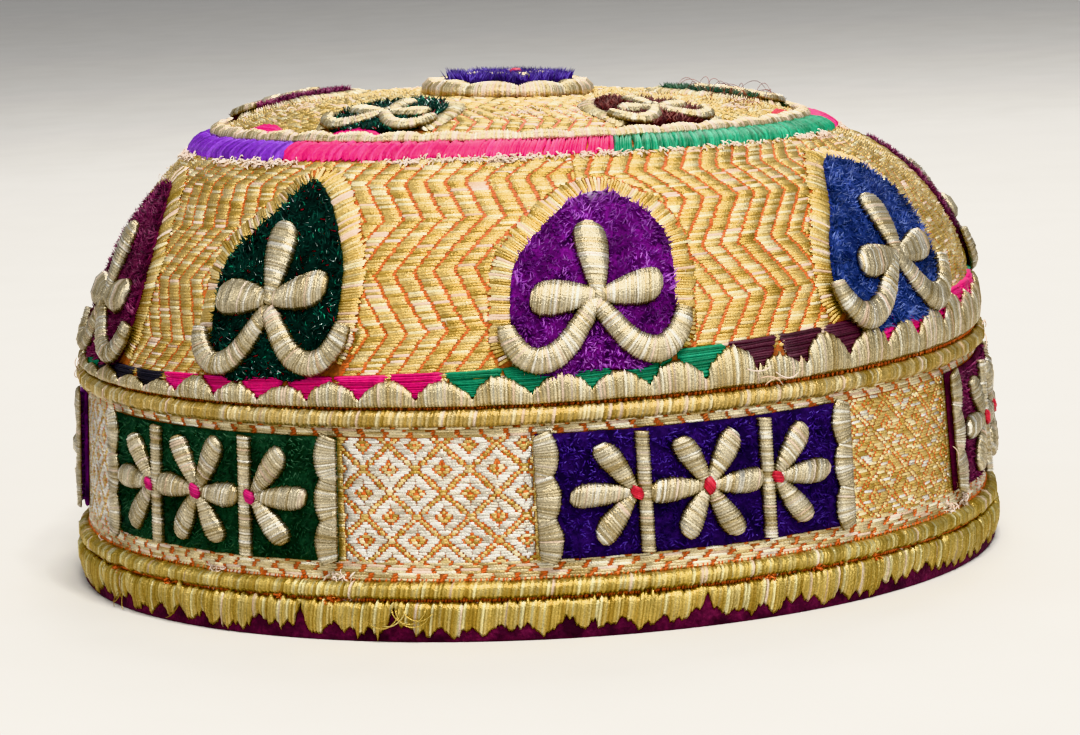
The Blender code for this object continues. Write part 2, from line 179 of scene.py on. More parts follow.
def pickShades(name, count, spread=0.06):
    # One colour a thread, as linear RGB, a little lighter or darker than its dye.
    shades = np.array([toLinear(code) for code in threadShades[name]])
    weights = np.array([0.5, 0.2, 0.2, 0.1][: len(shades)])
    found = shades[chance.choice(len(shades), count, p=weights / weights.sum())]
    return np.clip(found * (1.0 + spread * chance.standard_normal((count, 1))), 0.0, 1.0)


def wornShades(name, count, share):
    # The same, with this share of the threads worn down to their cream core.
    dyes = pickShades(name, count)
    worn = chance.random(count) < share
    dyes[worn] = pickShades("wornCream", int(worn.sum()))
    return dyes, worn


def feed(tree, node, inputs):
    for key, value in inputs.items():
        if isinstance(value, bpy.types.NodeSocket):
            tree.links.new(value, node.inputs[key])
        else:
            node.inputs[key].default_value = value


def addNode(tree, kind, inputs=None, **settings):
    node = tree.nodes.new(kind)
    for key, value in settings.items():
        setattr(node, key, value)
    feed(tree, node, inputs or {})
    return node


def startMaterial(name):
    material = bpy.data.materials.new(name)
    material.use_nodes = True
    tree = material.node_tree
    tree.nodes.clear()
    shader = addNode(tree, "ShaderNodeBsdfPrincipled")
    addNode(tree, "ShaderNodeOutputMaterial", {"Surface": shader.outputs[0]})
    place = addNode(tree, "ShaderNodeTexCoord").outputs["Object"]
    return material, tree, shader, place


def grainOf(tree, place, scale, detail, distortion=0.0):
    inputs = {"Vector": place, "Scale": scale, "Detail": detail, "Distortion": distortion}
    return addNode(tree, "ShaderNodeTexNoise", inputs).outputs[0]


def ranged(tree, value, low, high, start=0.0, end=1.0):
    inputs = {"Value": value, 1: low, 2: high, 3: start, 4: end}
    return addNode(tree, "ShaderNodeMapRange", inputs).outputs[0]


def combined(tree, first, second, operation):
    return addNode(tree, "ShaderNodeMath", {0: first, 1: second}, operation=operation).outputs[0]


def mixed(tree, share, low, high):
    return addNode(tree, "ShaderNodeMix", {0: share, 6: low, 7: high}, data_type="RGBA").outputs[2]


def attribute(tree, name, output):
    return addNode(tree, "ShaderNodeAttribute", attribute_name=name).outputs[output]


def dyed(tree, strength):
    # Each thread's own colour, lighter or darker by this much.
    inputs = {0: attribute(tree, "threadColour", "Color"), "Scale": strength}
    return addNode(tree, "ShaderNodeVectorMath", inputs, operation="SCALE").outputs[0]


def bumped(tree, height, strength, distance):
    inputs = {"Height": height, "Strength": strength, "Distance": distance}
    return addNode(tree, "ShaderNodeBump", inputs).outputs[0]


def makeThread(name, roughLow, roughHigh):
    # Gilt strip wound on silk: bright and broken along each thread, since every turn of the strip faces a
    # little differently. Roughness and bump follow the windings, and the base colour is lightened and
    # darkened with them as painted glints and painted shade. The real windings are too fine to show, so they
    # are drawn at about 0.35 mm.
    material, tree, shader, place = startMaterial(name)
    windings = grainOf(tree, place, 2800.0, 2.0)
    stain = grainOf(tree, place, 140.0, 3.0)
    tone = ranged(tree, stain, 0.3, 0.7, 0.82, 1.08)
    # Painted glints and shade: the base colour is lighter and darker with the windings.
    paintedWindingGlint = ranged(tree, windings, 0.3, 0.72, 0.78, 1.18)
    feed(tree, shader, {
        "Base Color": dyed(tree, combined(tree, tone, paintedWindingGlint, "MULTIPLY")),
        "Metallic": attribute(tree, "shine", "Fac"),
        "Roughness": ranged(tree, windings, 0.35, 0.7, roughHigh, roughLow),
        "Normal": bumped(tree, windings, 0.8, 0.0002),
    })
    return material


def makeFloss(name, rough=0.5):
    # Untwisted silk: dyed colour right through, a soft gloss along the strand and no metal.
    material, tree, shader, place = startMaterial(name)
    streaks = grainOf(tree, place, 1900.0, 3.0)
    feed(tree, shader, {
        "Base Color": dyed(tree, ranged(tree, streaks, 0.3, 0.7, 0.75, 1.15)),
        "Normal": bumped(tree, streaks, 0.5, 0.0001),
        "Roughness": rough,
        "Specular IOR Level": 0.5 * (1.0 - rough) + 0.1,
        "Sheen Weight": 0.05,
        "Sheen Roughness": 0.4,
    })
    return material


def makeVelvet(name, pileShadow, pile, tip, worn=None):
    # Silk velvet, cut pile: its colour is mixed by noise between a nearly black painted shade, as where one
    # looks into the pile, and a lighter painted light, as where the pile is laid over, with a pale rim of
    # sheen. Tufts are about
    # 0.6 mm and brush marks 3 to 5 mm.
    material, tree, shader, place = startMaterial(name)
    brush = ranged(tree, grainOf(tree, place, 260.0, 4.0, 0.6), 0.35, 0.68)
    tuft = grainOf(tree, place, 1500.0, 4.0)
    lit = combined(tree, brush, ranged(tree, tuft, 0.35, 0.68, 0.35, 1.0), "MULTIPLY")
    # Painted shade and painted light: a dark and a light colour of the same pile, mixed by noise.
    colour = mixed(tree, lit, opaque(pileShadow), opaque(pile))
    if worn:
        colour = mixed(tree, attribute(tree, "shine", "Fac"), colour, opaque(worn))
    feed(tree, shader, {
        "Base Color": colour,
        "Normal": bumped(tree, tuft, 0.9, 0.0005),
        "Roughness": 0.95,
        "Specular IOR Level": 0.15,
        "Sheen Weight": 0.55,
        "Sheen Roughness": 0.35,
        "Sheen Tint": opaque(tip),
    })
    return material


def makeGround(name, low, high, scale):
    # Plain weave: matt, faintly ribbed, uneven in colour where it has faded.
    material, tree, shader, place = startMaterial(name)
    patch = grainOf(tree, place, 120.0, 4.0)
    weave = grainOf(tree, place, scale, 2.0)
    share = ranged(tree, combined(tree, patch, weave, "ADD"), 0.75, 1.25)
    feed(tree, shader, {
        "Base Color": mixed(tree, share, opaque(low), opaque(high)),
        "Normal": bumped(tree, weave, 0.5, 0.0002),
        "Roughness": 0.8,
    })
    return material


# How much of a gilt thread reads as metal: the rest is the silk that shows between its windings.
gilding = 0.72
velvetTips = {
    "purple": ("#853E9A", "#9650A8", "#662C7A", "#A664B6"),
    "violet": ("#3A2674", "#4B388A", "#261854", "#5E4CA0"),
    "blue": ("#3C4C8E", "#4C5E9E", "#2C3A70", "#6A7AB2"),
    "maroon": ("#6A2448", "#864060", "#40142C", "#9C5876"),
    "green": ("#34523E", "#42624C", "#243C2C", "#55755E"),
    "dark": ("#0E2420", "#16382F", "#081412", "#24483E"),
    "brown": ("#5A2A2C", "#74423E", "#341618", "#8A5A54"),
}
cutPile = makeFloss("silk pile, cut", 0.9)
giltThread = makeThread("gilt thread, wound and laid", 0.20, 0.46)
silverThread = makeThread("silver-gilt thread, wound and laid", 0.14, 0.40)
silkFloss = makeFloss("silk floss, dyed and laid")
brocadeGround = makeGround("cotton ground cloth, plain woven", "#6E3A18", "#B8642A", 1500.0)
liningCloth = makeGround("cotton lining, plain woven", "#B9A98C", "#D6C9AE", 1200.0)
velvets = {
    "purple": makeVelvet("purple silk velvet, cut pile", "#1E0726", "#7A2584", "#A06AAE", "#E3D3E8"),
    "violet": makeVelvet("violet silk velvet, cut pile", "#0C0620", "#33205E", "#5E5088", "#CFC4E6"),
    "blue": makeVelvet("blue silk velvet, cut pile", "#101638", "#3A4A84", "#6A7AB8"),
    "maroon": makeVelvet("maroon silk velvet, cut pile", "#260B18", "#642440", "#8E5A70"),
    "green": makeVelvet("green silk velvet, cut pile", "#0C1A10", "#2C4A36", "#56756A", "#D9CDB4"),
    "dark": makeVelvet("dark green velvet with metal pile, cut", "#040C0A", "#0E2A22", "#2A5248"),
    "brown": makeVelvet("brown silk velvet, cut pile", "#1C0A0C", "#4E2628", "#7A5250"),
}

print("materials made")

# Building.


def gridPart(places, closed, ring, colour, shine, slotIndex=0):
    # Copies of one strip or tube: places is (copies, columns, rows, 3), with a colour for each copy, column
    # or point.
    copies, columns, rows, _ = places.shape
    index = np.arange(copies * columns * rows).reshape(copies, columns, rows)
    if ring:
        index = np.concatenate([index, index[:, :1]], 1)
    if closed:
        index = np.concatenate([index, index[:, :, :1]], 2)
    quads = np.stack([index[:, :-1, :-1], index[:, :-1, 1:], index[:, 1:, 1:], index[:, 1:, :-1]], -1)
    quads = quads.reshape(copies, -1, 4)
    points = places.reshape(-1, 3)
    corners = points[quads]
    normal = np.cross(corners[:, :, 1] - corners[:, :, 0], corners[:, :, 2] - corners[:, :, 0])
    if closed:
        middle = places.reshape(copies, -1, 3).mean(1)[:, None]
    else:
        middle = np.array([0.0, 0.0, 0.02])
    facing = (normal * (corners.mean(2) - middle)).sum((1, 2))
    quads[facing < 0] = quads[facing < 0][:, :, ::-1]
    faces = quads.reshape(-1, 4).tolist()
    if closed and not ring:
        ends = np.stack([index[:, 0, -2::-1], index[:, -1, :-1]], 1)
        ends[facing < 0] = ends[facing < 0][:, :, ::-1]
        faces += ends.reshape(-1, rows).tolist()
    full = np.broadcast_to(colour, (copies, columns, rows, 3)).reshape(-1, 3)
    gloss = np.broadcast_to(shine, (copies, columns, rows)).reshape(-1)
    return points, faces, full, gloss, slotIndex


def joinParts(name, parts):
    points, faces, colours, glosses, indices, start = [], [], [], [], [], 0
    for part, partFaces, colour, gloss, slotIndex in parts:
        points.append(part)
        faces += [[start + i for i in face] for face in partFaces]
        colours.append(colour)
        glosses.append(gloss)
        indices += [slotIndex] * len(partFaces)
        start += len(part)
    mesh = bpy.data.meshes.new(name)
    mesh.from_pydata(np.concatenate(points).tolist(), [], faces)
    mesh.polygons.foreach_set("material_index", indices)
    mesh.polygons.foreach_set("use_smooth", [True] * len(faces))
    rgba = np.concatenate([np.concatenate(colours), np.ones((start, 1))], 1)
    mesh.attributes.new("threadColour", "FLOAT_COLOR", "POINT").data.foreach_set("color", rgba.ravel())
    mesh.attributes.new("shine", "FLOAT", "POINT").data.foreach_set("value", np.concatenate(glosses))
    mesh.update()
    return mesh


def addPiece(name, mesh, materials, slotName, *nodes):
    obj = bpy.data.objects.new(name, mesh)
    bpy.context.scene.collection.objects.link(obj)
    for material in materials:
        mesh.materials.append(material)
    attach(obj, "root")
    if nodes:
        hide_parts(*nodes)
    return obj


def sew(name, parts, materials, slotName, *nodes):
    addPiece(name, joinParts(name, parts), materials, slotName, *nodes)


def spun(loop, steps, merge, closed):
    # A section of (across, up) spun round a middle.
    bm = bmesh.new()
    verts = [bm.verts.new((across, 0.0, up)) for across, up in loop]
    following = verts[1:] + verts[:1] if closed else verts[1:]
    edges = [bm.edges.new(pair) for pair in zip(verts, following)]
    bmesh.ops.spin(
        bm, geom=verts + edges, cent=(0, 0, 0), axis=(0, 0, 1), angle=fullTurn, steps=steps,
        use_merge=True,
    )
    bmesh.ops.remove_doubles(bm, verts=bm.verts, dist=merge)
    return bm, np.array([v.co for v in bm.verts])


def laidMesh(name, bm, spots):
    # The spun section with its points moved to their places on the cap.
    for vert, spot in zip(bm.verts, spots):
        vert.co = spot
    for face in bm.faces:
        face.smooth = True
    bmesh.ops.recalc_face_normals(bm, faces=bm.faces)
    mesh = bpy.data.meshes.new(name)
    bm.to_mesh(mesh)
    bm.free()
    return mesh


def spinRound(name, loop, steps, inner=None):
    # A section of (run, lift) spun round the middle of the top on the flat cloth, then laid on the cap.
    bm, flat = spun([(topRun - run, lift) for run, lift in loop], steps, 0.0005, True)
    for face in bm.faces:
        if inner is not None and face.calc_center_median().z < inner:
            face.material_index = 1
    away = np.hypot(flat[:, 0], flat[:, 1])
    return laidMesh(name, bm, onCap(np.arctan2(flat[:, 1], flat[:, 0]), topRun - away, flat[:, 2]))


def pathLength(path):
    return np.concatenate([[0.0], np.cumsum(np.linalg.norm(np.diff(path, axis=0), axis=1))])


def alongPath(spots, length, path):
    return np.stack([np.interp(spots, length, path[:, 0]), np.interp(spots, length, path[:, 1])], 1)


def smoothOutline(points, count, closed=True):
    # A soft curve through a few points, as evenly spaced ones.
    points = np.array(points, float)
    if closed:
        ring = np.concatenate([points[-1:], points, points[:2]])
    else:
        ring = np.concatenate([2 * points[:1] - points[1:2], points, 2 * points[-1:] - points[-2:-1]])
    t = np.linspace(0.0, 1.0, 24, endpoint=False)[:, None]
    curve = []
    for a, b, c, d in zip(ring, ring[1:], ring[2:], ring[3:]):
        curve.append(
            0.5 * (2 * b + (c - a) * t + (2 * a - 5 * b + 4 * c - d) * t**2 + (3 * b - a - 3 * c + d) * t**3)
        )
    curve = np.concatenate(curve + [curve[0][:1] if closed else points[-1:]])
    length = pathLength(curve)
    spots = np.linspace(0.0, length[-1], count + 1 if closed else count)
    return alongPath(spots[:-1] if closed else spots, length, curve)


def distanceTo(across, run, outline):
    # How far flat points lie outside an outline, less than 0 within it.
    a, b = outline, np.roll(outline, -1, 0)
    best = np.full(across.shape, 1e9)
    inside = np.zeros(across.shape, bool)
    for (ax, ay), (bx, by) in zip(a, b):
        dx, dy = bx - ax, by - ay
        t = np.clip(((across - ax) * dx + (run - ay) * dy) / (dx * dx + dy * dy), 0.0, 1.0)
        best = np.minimum(best, np.hypot(across - ax - t * dx, run - ay - t * dy))
        crosses = (ay > run) != (by > run)
        inside ^= crosses & (across < ax + (run - ay) / (dy if dy else 1e-9) * dx)
    return np.where(inside, -best, best)


satinAcross = np.array([0.0, 0.06, 0.28, 0.72, 0.94, 1.0])
satinUp = np.array([0.0, 0.60, 1.0, 1.0, 0.60, 0.0])
# The ends of the threads are darkened as painted shade, where they go down into the cloth.
satinEndShadow = np.array([0.5, 0.74, 1.0, 1.0, 0.74, 0.5])[:, None]


def ridges(columns):
    # Every second column is the back of a thread, and the others are the grooves between.
    return (np.arange(columns) % 2 == 1).astype(float)


def satin(place, path, widths, look):
    # Padded satin stitch: threads laid side by side across a path, each a ridge of its own over one body.
    path, widths = np.array(path, float), np.array(widths, float)
    length = pathLength(path)
    columns = 2 * max(int(round(length[-1] / look["pitch"])), 3) + 1
    ridge = ridges(columns)
    spots = np.linspace(0.0, length[-1], columns)
    spots = spots + ridge * look["pitch"] * 0.12 * chance.standard_normal(columns)
    spots = np.clip(spots, 0.0, length[-1])
    centre = alongPath(spots, length, path)
    step = alongPath(spots + 0.4, length, path) - alongPath(spots - 0.4, length, path)
    along = step / np.maximum(np.linalg.norm(step, axis=1, keepdims=True), 1e-6)
    side = np.stack([-along[:, 1], along[:, 0]], 1)
    width = np.interp(spots, length, widths)
    rise = look["rise"] * (width / widths.max()) ** 0.55 * (1.0 + 0.04 * chance.standard_normal(columns))
    rise = rise + look["ridge"] * (ridge - 0.5)
    half = 0.5 * width + look["ridge"] * 0.5 * (ridge - 0.5)
    reach = half[:, None] * (2.0 * satinAcross - 1.0)
    fray = ridge[:, None] * look["fray"] * chance.standard_normal((columns, 2))
    reach[:, 0] -= fray[:, 0]
    reach[:, -1] += fray[:, 1]
    slant = look["slant"] * reach
    flat = centre[:, None] + side[:, None] * reach[..., None] + along[:, None] * slant[..., None]
    up = look["lift"] + satinUp * rise[:, None]
    places = place(flat[..., 0], flat[..., 1], up)[None]
    dyes, worn = wornShades(look["shade"], columns, look["worn"])
    # Painted shade: the colour of the groove columns between the threads is darkened by a factor.
    dyes = np.where(ridge[:, None] > 0, dyes, look.get("grooveShadow", 0.66) * dyes)
    shine = np.where(worn, 0.15, look.get("shine", gilding))
    # Each thread's colour is multiplied by the painted shade at its ends.
    return gridPart(
        places, True, False, dyes[None, :, None] * satinEndShadow, shine[None, :, None], look.get("slotIndex", 0)
    )


def strands(angle0, run0, angle1, run1, width, rise, base, colour, shine, stations, up, bow=0.0, slotIndex=0):
    # Single threads lying on the cloth from one point to another, each a small ridge whose ends go under it.
    angle0, run0, angle1, run1 = (np.asarray(x, float)[:, None] for x in (angle0, run0, angle1, run1))
    t = np.asarray(stations)[None]
    radius = radiusAt(0.5 * (run0 + run1))
    across, rising = (angle1 - angle0) * radius, run1 - run0
    length = np.maximum(np.hypot(across, rising), 1e-6)
    sideU, sideV = -rising / length, across / length
    arc = np.broadcast_to(bow, (len(angle0),))[:, None] * np.sin(math.pi * t)
    half = 0.5 * np.broadcast_to(width, (len(angle0),))[:, None] * np.where((t == 0) | (t == 1), 0.7, 1.0)
    height = np.broadcast_to(rise, (len(angle0),))[:, None] * np.asarray(up)[None]
    low = np.broadcast_to(base, (len(angle0),))[:, None]
    rows = []
    for share, raised in ((-1.0, 0.0), (0.0, 1.0), (1.0, 0.0)):
        u = sideU * (half * share + arc)
        v = sideV * (half * share + arc)
        rows.append(onCap(
            angle0 + (angle1 - angle0) * t + u / radius, run0 + rising * t + v, low + height * raised
        ))
    places = np.stack(rows, 2)
    return gridPart(places, False, False, colour[:, None, None], np.asarray(shine)[:, None, None], slotIndex)


def fibres(angle, run, heading, length, radius, lift, arch, curl, colour, shine, stations=6, slotIndex=0):
    # Loose fibres and threads: thin three-sided tubes that leave the cloth, curve and droop.
    count = len(angle)
    t = np.linspace(0.0, 1.0, stations)[None]
    around = radiusAt(run)[:, None]
    bend = heading[:, None] + curl[:, None] * t
    step = length[:, None] / (stations - 1)
    u = np.concatenate([np.zeros((count, 1)), np.cumsum(np.cos(bend) * step, 1)[:, :-1]], 1)
    v = np.concatenate([np.zeros((count, 1)), np.cumsum(np.sin(bend) * step, 1)[:, :-1]], 1)
    high = lift[:, None] + arch[:, None] * np.sin(0.5 * math.pi * np.minimum(t * 1.6, 1.6))
    thick = radius[:, None] * np.array([1.0] * (stations - 1) + [0.4])[None]
    rows = []
    for k in range(3):
        turn = fullTurn * k / 3.0
        sideU, sideV = -np.sin(bend) * math.cos(turn) * thick, np.cos(bend) * math.cos(turn) * thick
        rows.append(onCap(
            angle[:, None] + (u + sideU) / around, run[:, None] + v + sideV, high + math.sin(turn) * thick
        ))
    places = np.stack(rows, 2)
    places[..., 2] = np.maximum(places[..., 2], 0.0002)
    return gridPart(places, True, False, colour[:, None, None], np.asarray(shine)[:, None, None], slotIndex)


def puffed(name, place, outline, centre, look, marks=None):
    # A velvet patch: half its section is spun into a round cushion and drawn out to the patch's outline, and
    # the pile is raised and parted by noise.
    loop = [(share, 1.0) for share in np.linspace(0.0, 0.86, look["rings"])]
    loop += [(0.93, 0.9), (0.975, 0.68), (1.0, 0.3), (1.0, 0.0), (0.5, 0.0), (0.0, 0.0)]
    steps = len(outline)
    bm, flat = spun(loop, steps, 0.0001, False)
    turn = (np.arctan2(flat[:, 1], flat[:, 0]) / fullTurn * steps) % steps
    low = np.floor(turn + 1e-4).astype(int) % steps
    edge = outline[low] - np.array(centre)
    share = np.hypot(flat[:, 0], flat[:, 1])[:, None]
    spots = np.array(centre) + edge * share
    height = flat[:, 2]
    tuft = look["tuft"]
    tufts = np.array([noise.fractal(Vector((u / tuft, v / tuft, 3.7)), 0.8, 2.2, 3) for u, v in spots])
    brush = np.array([noise.noise(Vector((u / 5.0, v / 5.0, 9.1))) for u, v in spots])
    swell = look["height"] * (1.0 - 0.35 * share[:, 0] ** 4) + look["pile"] * tufts + 0.25 * brush
    lift = np.where(height > 0.0, look["lift"] + height * swell, look["bottom"])
    spots = spots + (share > 0.9) * (height > 0.1)[:, None] * 0.25 * tufts[:, None] * np.sign(edge)
    wear = marks(spots[:, 0], spots[:, 1]) if marks else np.zeros(len(spots))
    mesh = laidMesh(name, bm, place(spots[:, 0], spots[:, 1], lift))
    mesh.attributes.new("shine", "FLOAT", "POINT").data.foreach_set("value", wear)
    return mesh


def pileSpikes(place, outline, base, dyes, look, slotIndex=0, shine=0.0, share=1.0, marks=None):
    # Cut pile: short three-sided spikes that lie over in clumps. Their roots are darkened as painted shade,
    # and their tips are lighter and darker in patches of noise as painted light and shade.
    low, high = outline.min(0), outline.max(0)
    count = int((high - low).prod() * look["perSquare"] * share)
    u = low[0] + (high[0] - low[0]) * chance.random(count)
    v = low[1] + (high[1] - low[1]) * chance.random(count)
    inside = distanceTo(u, v, outline) < -look.get("inset", 0.2)
    if marks:
        inside &= marks(u, v) < 0.25
    u, v = u[inside], v[inside]
    count = len(u)
    turn = np.array([
        7.0 * noise.noise(Vector((a / look["clump"], b / look["clump"], base))) for a, b in zip(u, v)
    ]) + 0.7 * chance.standard_normal(count)
    length = look["length"] * (0.65 + 0.6 * chance.random(count))
    spin = chance.random(count) * fullTurn
    points = []
    for k in range(3):
        a = spin + fullTurn * k / 3.0
        points.append(place(u + 0.5 * look["width"] * np.cos(a), v + 0.5 * look["width"] * np.sin(a), base))
    over = look["lean"] * length
    points.append(place(u + over * np.cos(turn), v + over * np.sin(turn), base + 0.8 * length))
    points = np.stack(points, 1)
    tips = np.array([toLinear(code) for code in dyes])[chance.integers(0, len(dyes), count)]
    # Painted light and shade: the tips are lighter and darker in patches of noise.
    paintedBrushLight = np.array([noise.fractal(Vector((a / 6.0, b / 6.0, 7.3)), 0.9, 2.0, 3) for a, b in zip(u, v)])
    tips = tips * np.clip(0.9 + 0.9 * paintedBrushLight[:, None], 0.35, 1.6)
    tips = np.clip(tips * (1.0 + 0.1 * chance.standard_normal((count, 1))), 0.0, 1.0)
    # Painted shade: the three root points of each spike are 0.35 times its tip colour.
    colour = np.stack([0.35 * tips, 0.35 * tips, 0.35 * tips, tips], 1).reshape(-1, 3)
    index = 4 * np.arange(count)[:, None, None]
    faces = (index + np.array([[0, 1, 3], [1, 2, 3], [2, 0, 3]])[None]).reshape(-1, 3).tolist()
    return points.reshape(-1, 3), faces, colour, np.full(4 * count, shine), slotIndex


# Cloth.

cloth = {"columns": 144, "bandSteps": 5, "crownSteps": 20, "topSteps": 12}
topRing = {"outer": 64.4, "width": 4.4, "inner": 60.0}


def clothLoop(low, high, steps):
    spots = np.linspace(low, high, steps + 1)
    return [(run, 0.0) for run in spots] + [(run, -capForm["wall"]) for run in spots[::-1]]


ringRun = runAtRadius(topRing["outer"] - 0.5 * topRing["width"])
pieceRuns = (
    ("bandCloth", 1.5, seamRun, cloth["bandSteps"], "band"),
    ("crownCloth", seamRun, ringRun, cloth["crownSteps"], "crown_side"),
    ("topCloth", ringRun, topRun, cloth["topSteps"], "crown_top"),
)
for name, low, high, steps, node in pieceRuns:
    mesh = spinRound(name, clothLoop(low, high, steps), cloth["columns"], inner=-1.0)
    addPiece(name, mesh, [brocadeGround, liningCloth], "brocade", node)

print("cloth laid")

# Hearts and their surroundings.

hearts = {
    "angles": (8.0, 53.0, 99.5, 146.0, 193.0, 240.0, 287.5, 326.0),
    "velvets": ("purple", "blue", "maroon", "green", "violet", "brown", "maroon", "dark"),
    "width": 32.0,
    "height": 35.0,
    "run": 48.9,
    "border": 4.0,
    "cordWidth": 4.3,
    "petalWidth": 6.4,
    "petalLength": 12.0,
}
# Outlines as shares of the width and height from the middle of the base, right side first.
heartShapes = {
    "plain": ((0.0, -0.01), (0.30, -0.02), (0.46, 0.12), (0.49, 0.32), (0.44, 0.56), (0.31, 0.78),
              (0.14, 0.94), (0.0, 1.0), (-0.14, 0.94), (-0.31, 0.78), (-0.44, 0.56), (-0.49, 0.32),
              (-0.46, 0.12), (-0.30, -0.02)),
    "domed": ((0.0, -0.01), (0.30, -0.02), (0.45, 0.13), (0.472, 0.30), (0.484, 0.50), (0.447, 0.71),
              (0.29, 0.90), (0.10, 0.985), (-0.09, 0.91), (-0.275, 0.745), (-0.41, 0.60), (-0.455, 0.47),
              (-0.48, 0.26), (-0.46, 0.10), (-0.30, -0.02)),
    "leaning": ((0.0, -0.01), (0.28, -0.02), (0.42, 0.12), (0.445, 0.34), (0.415, 0.545), (0.33, 0.70),
                (0.21, 0.865), (0.10, 0.97), (0.02, 1.0), (-0.06, 0.93), (-0.12, 0.85), (-0.24, 0.745),
                (-0.39, 0.62), (-0.45, 0.49), (-0.445, 0.36), (-0.42, 0.14), (-0.28, -0.02)),
    "broad": ((0.0, -0.01), (0.30, -0.02), (0.47, 0.10), (0.49, 0.34), (0.485, 0.58), (0.40, 0.82),
              (0.22, 0.96), (0.04, 0.99), (-0.12, 0.85), (-0.28, 0.64), (-0.42, 0.45), (-0.49, 0.27),
              (-0.47, 0.10), (-0.30, -0.02)),
}
# The four hearts that the photograph shows: outline, width, height, base run, and the petals' middle from
# the base.
heartTraits = {
    0: ("domed", 32.0, 33.0, 48.5, (0.7, 11.8)),
    1: ("broad", 35.5, 35.5, 48.0, (1.4, 11.0)),
    6: ("plain", 32.0, 35.5, 49.6, (0.4, 13.2)),
    7: ("leaning", 32.0, 36.3, 50.0, (0.0, 13.6)),
}
topHearts = {
    "angles": (33.0, 107.0, 181.0, 255.0, 329.0),
    "scale": 0.68,
    "velvets": ("brown", "green", "blue", "maroon", "dark"),
    "border": 2.7,
    "run": runAtRadius(topRing["inner"]) + 4.3,
}


def heartOutline(shape, width, height, run, count):
    return smoothOutline([(u * width, run + v * height) for u, v in heartShapes[shape]], count)


def heartSpots():
    # Every heart: its place, outline, size, border and velvet.
    found = []
    for index, angle in enumerate(hearts["angles"]):
        plain = ("plain", hearts["width"], hearts["height"], hearts["run"], (0.6, 12.2))
        shape, width, height, run, middle = heartTraits.get(index, plain)
        found.append(dict(
            angle=angle, outline=heartOutline(shape, width, height, run, 104), scale=1.0, run=run,
            width=width, height=height, middle=middle, border=hearts["border"],
            velvet=hearts["velvets"][index], name=f"heart_{index + 1}", top=False,
        ))
    for index, angle in enumerate(topHearts["angles"]):
        scale = topHearts["scale"]
        width, height = hearts["width"] * scale, hearts["height"] * scale
        found.append(dict(
            angle=angle, outline=heartOutline("plain", width, height, topHearts["run"], 84), scale=scale,
            run=topHearts["run"], width=width, height=height, middle=(0.6 * scale, 12.2 * scale),
            border=topHearts["border"], velvet=topHearts["velvets"][index], name=f"top_heart_{index + 1}",
            top=True,
        ))
    return found


allHearts = heartSpots()


def flatOffset(angle, run, heart):
    return wrapped(angle - math.radians(heart["angle"])) * radiusAt(run)


def clearOfHearts(angle, run, top, margin):
    # True where the brocade shows, this far outside each heart's border.
    free = np.ones(angle.shape, bool)
    for heart in allHearts:
        if heart["top"] != top:
            continue
        across = flatOffset(angle, run, heart)
        near = np.abs(across) < 30.0
        far = np.full(angle.shape, 99.0)
        far[near] = distanceTo(across[near], run[near], heart["outline"])
        free &= far > heart["border"] + margin
    return free


petalShape = {
    # share of the length, share of the width
    "along": (0.0, 0.08, 0.25, 0.45, 0.65, 0.82, 0.93, 1.0),
    "across": (0.42, 0.52, 0.72, 0.90, 1.0, 0.97, 0.78, 0.36),
}


def petal(place, centre, turn, length, width, look):
    # One padded petal from its knot to its rounded tip.
    along = np.array(petalShape["along"])[:, None] * length
    path = np.array(centre) + along * np.array([math.cos(turn), math.sin(turn)])
    return satin(place, path, width * np.array(petalShape["across"]), look)


def knot(place, centre, radius, lift, shade, slotIndex, shine=0.0):
    # A bead of a few threads pulled tight over the middle.
    turn = math.radians(90.0 + 14.0 * chance.standard_normal())
    ahead = np.array([math.cos(turn), math.sin(turn)])
    path = np.array(centre) + np.linspace(-0.8, 0.8, 5)[:, None] * radius * ahead
    # The grooves between the knot's threads are darkened to 0.6 as painted shade.
    look = {"pitch": 0.4, "rise": 0.95, "lift": lift, "ridge": 0.2, "fray": 0.1, "shade": shade, "worn": 0.0,
            "shine": shine, "grooveShadow": 0.6, "slotIndex": slotIndex, "slant": 0.4}
    return satin(place, path, radius * np.array([1.1, 1.65, 1.85, 1.65, 1.1]), look)


heartThread = {"pitch": 0.48, "rise": 1.75, "lift": 1.7, "ridge": 0.24, "fray": 0.14, "shade": "silverGold",
               "slant": 0.18, "worn": 0.05}
heartCord = {"pitch": 0.50, "rise": 1.7, "lift": 1.6, "ridge": 0.24, "fray": 0.18, "shade": "silverGold",
             "slant": 0.15, "worn": 0.06}
cordLine = ((0.0, 0.315), (0.075, 0.240), (0.150, 0.150), (0.230, 0.088), (0.320, 0.060), (0.405, 0.080),
            (0.470, 0.145), (0.498, 0.205), (0.508, 0.250))
cordWidths = (0.75, 0.9, 1.0, 1.05, 1.1, 1.1, 1.05, 1.0, 0.75)
pile = {"perSquare": 2.9, "length": 1.3, "width": 0.53, "clump": 2.4, "lean": 0.7}
heartVelvet = {"rings": 20, "tuft": 0.9, "height": 0.85, "pile": 0.22, "lift": 0.6, "bottom": 0.3}


def heartWear(u, v):
    # The purple heart is rubbed pale near its tip.
    tip = np.exp(-((u - 1.0) / 4.0) ** 2 - ((v - 82.5) / 2.4) ** 2)
    return np.clip(1.1 * tip * (0.6 + 0.5 * np.sin(5.0 * u + 3.0 * v)), 0.0, 1.0)


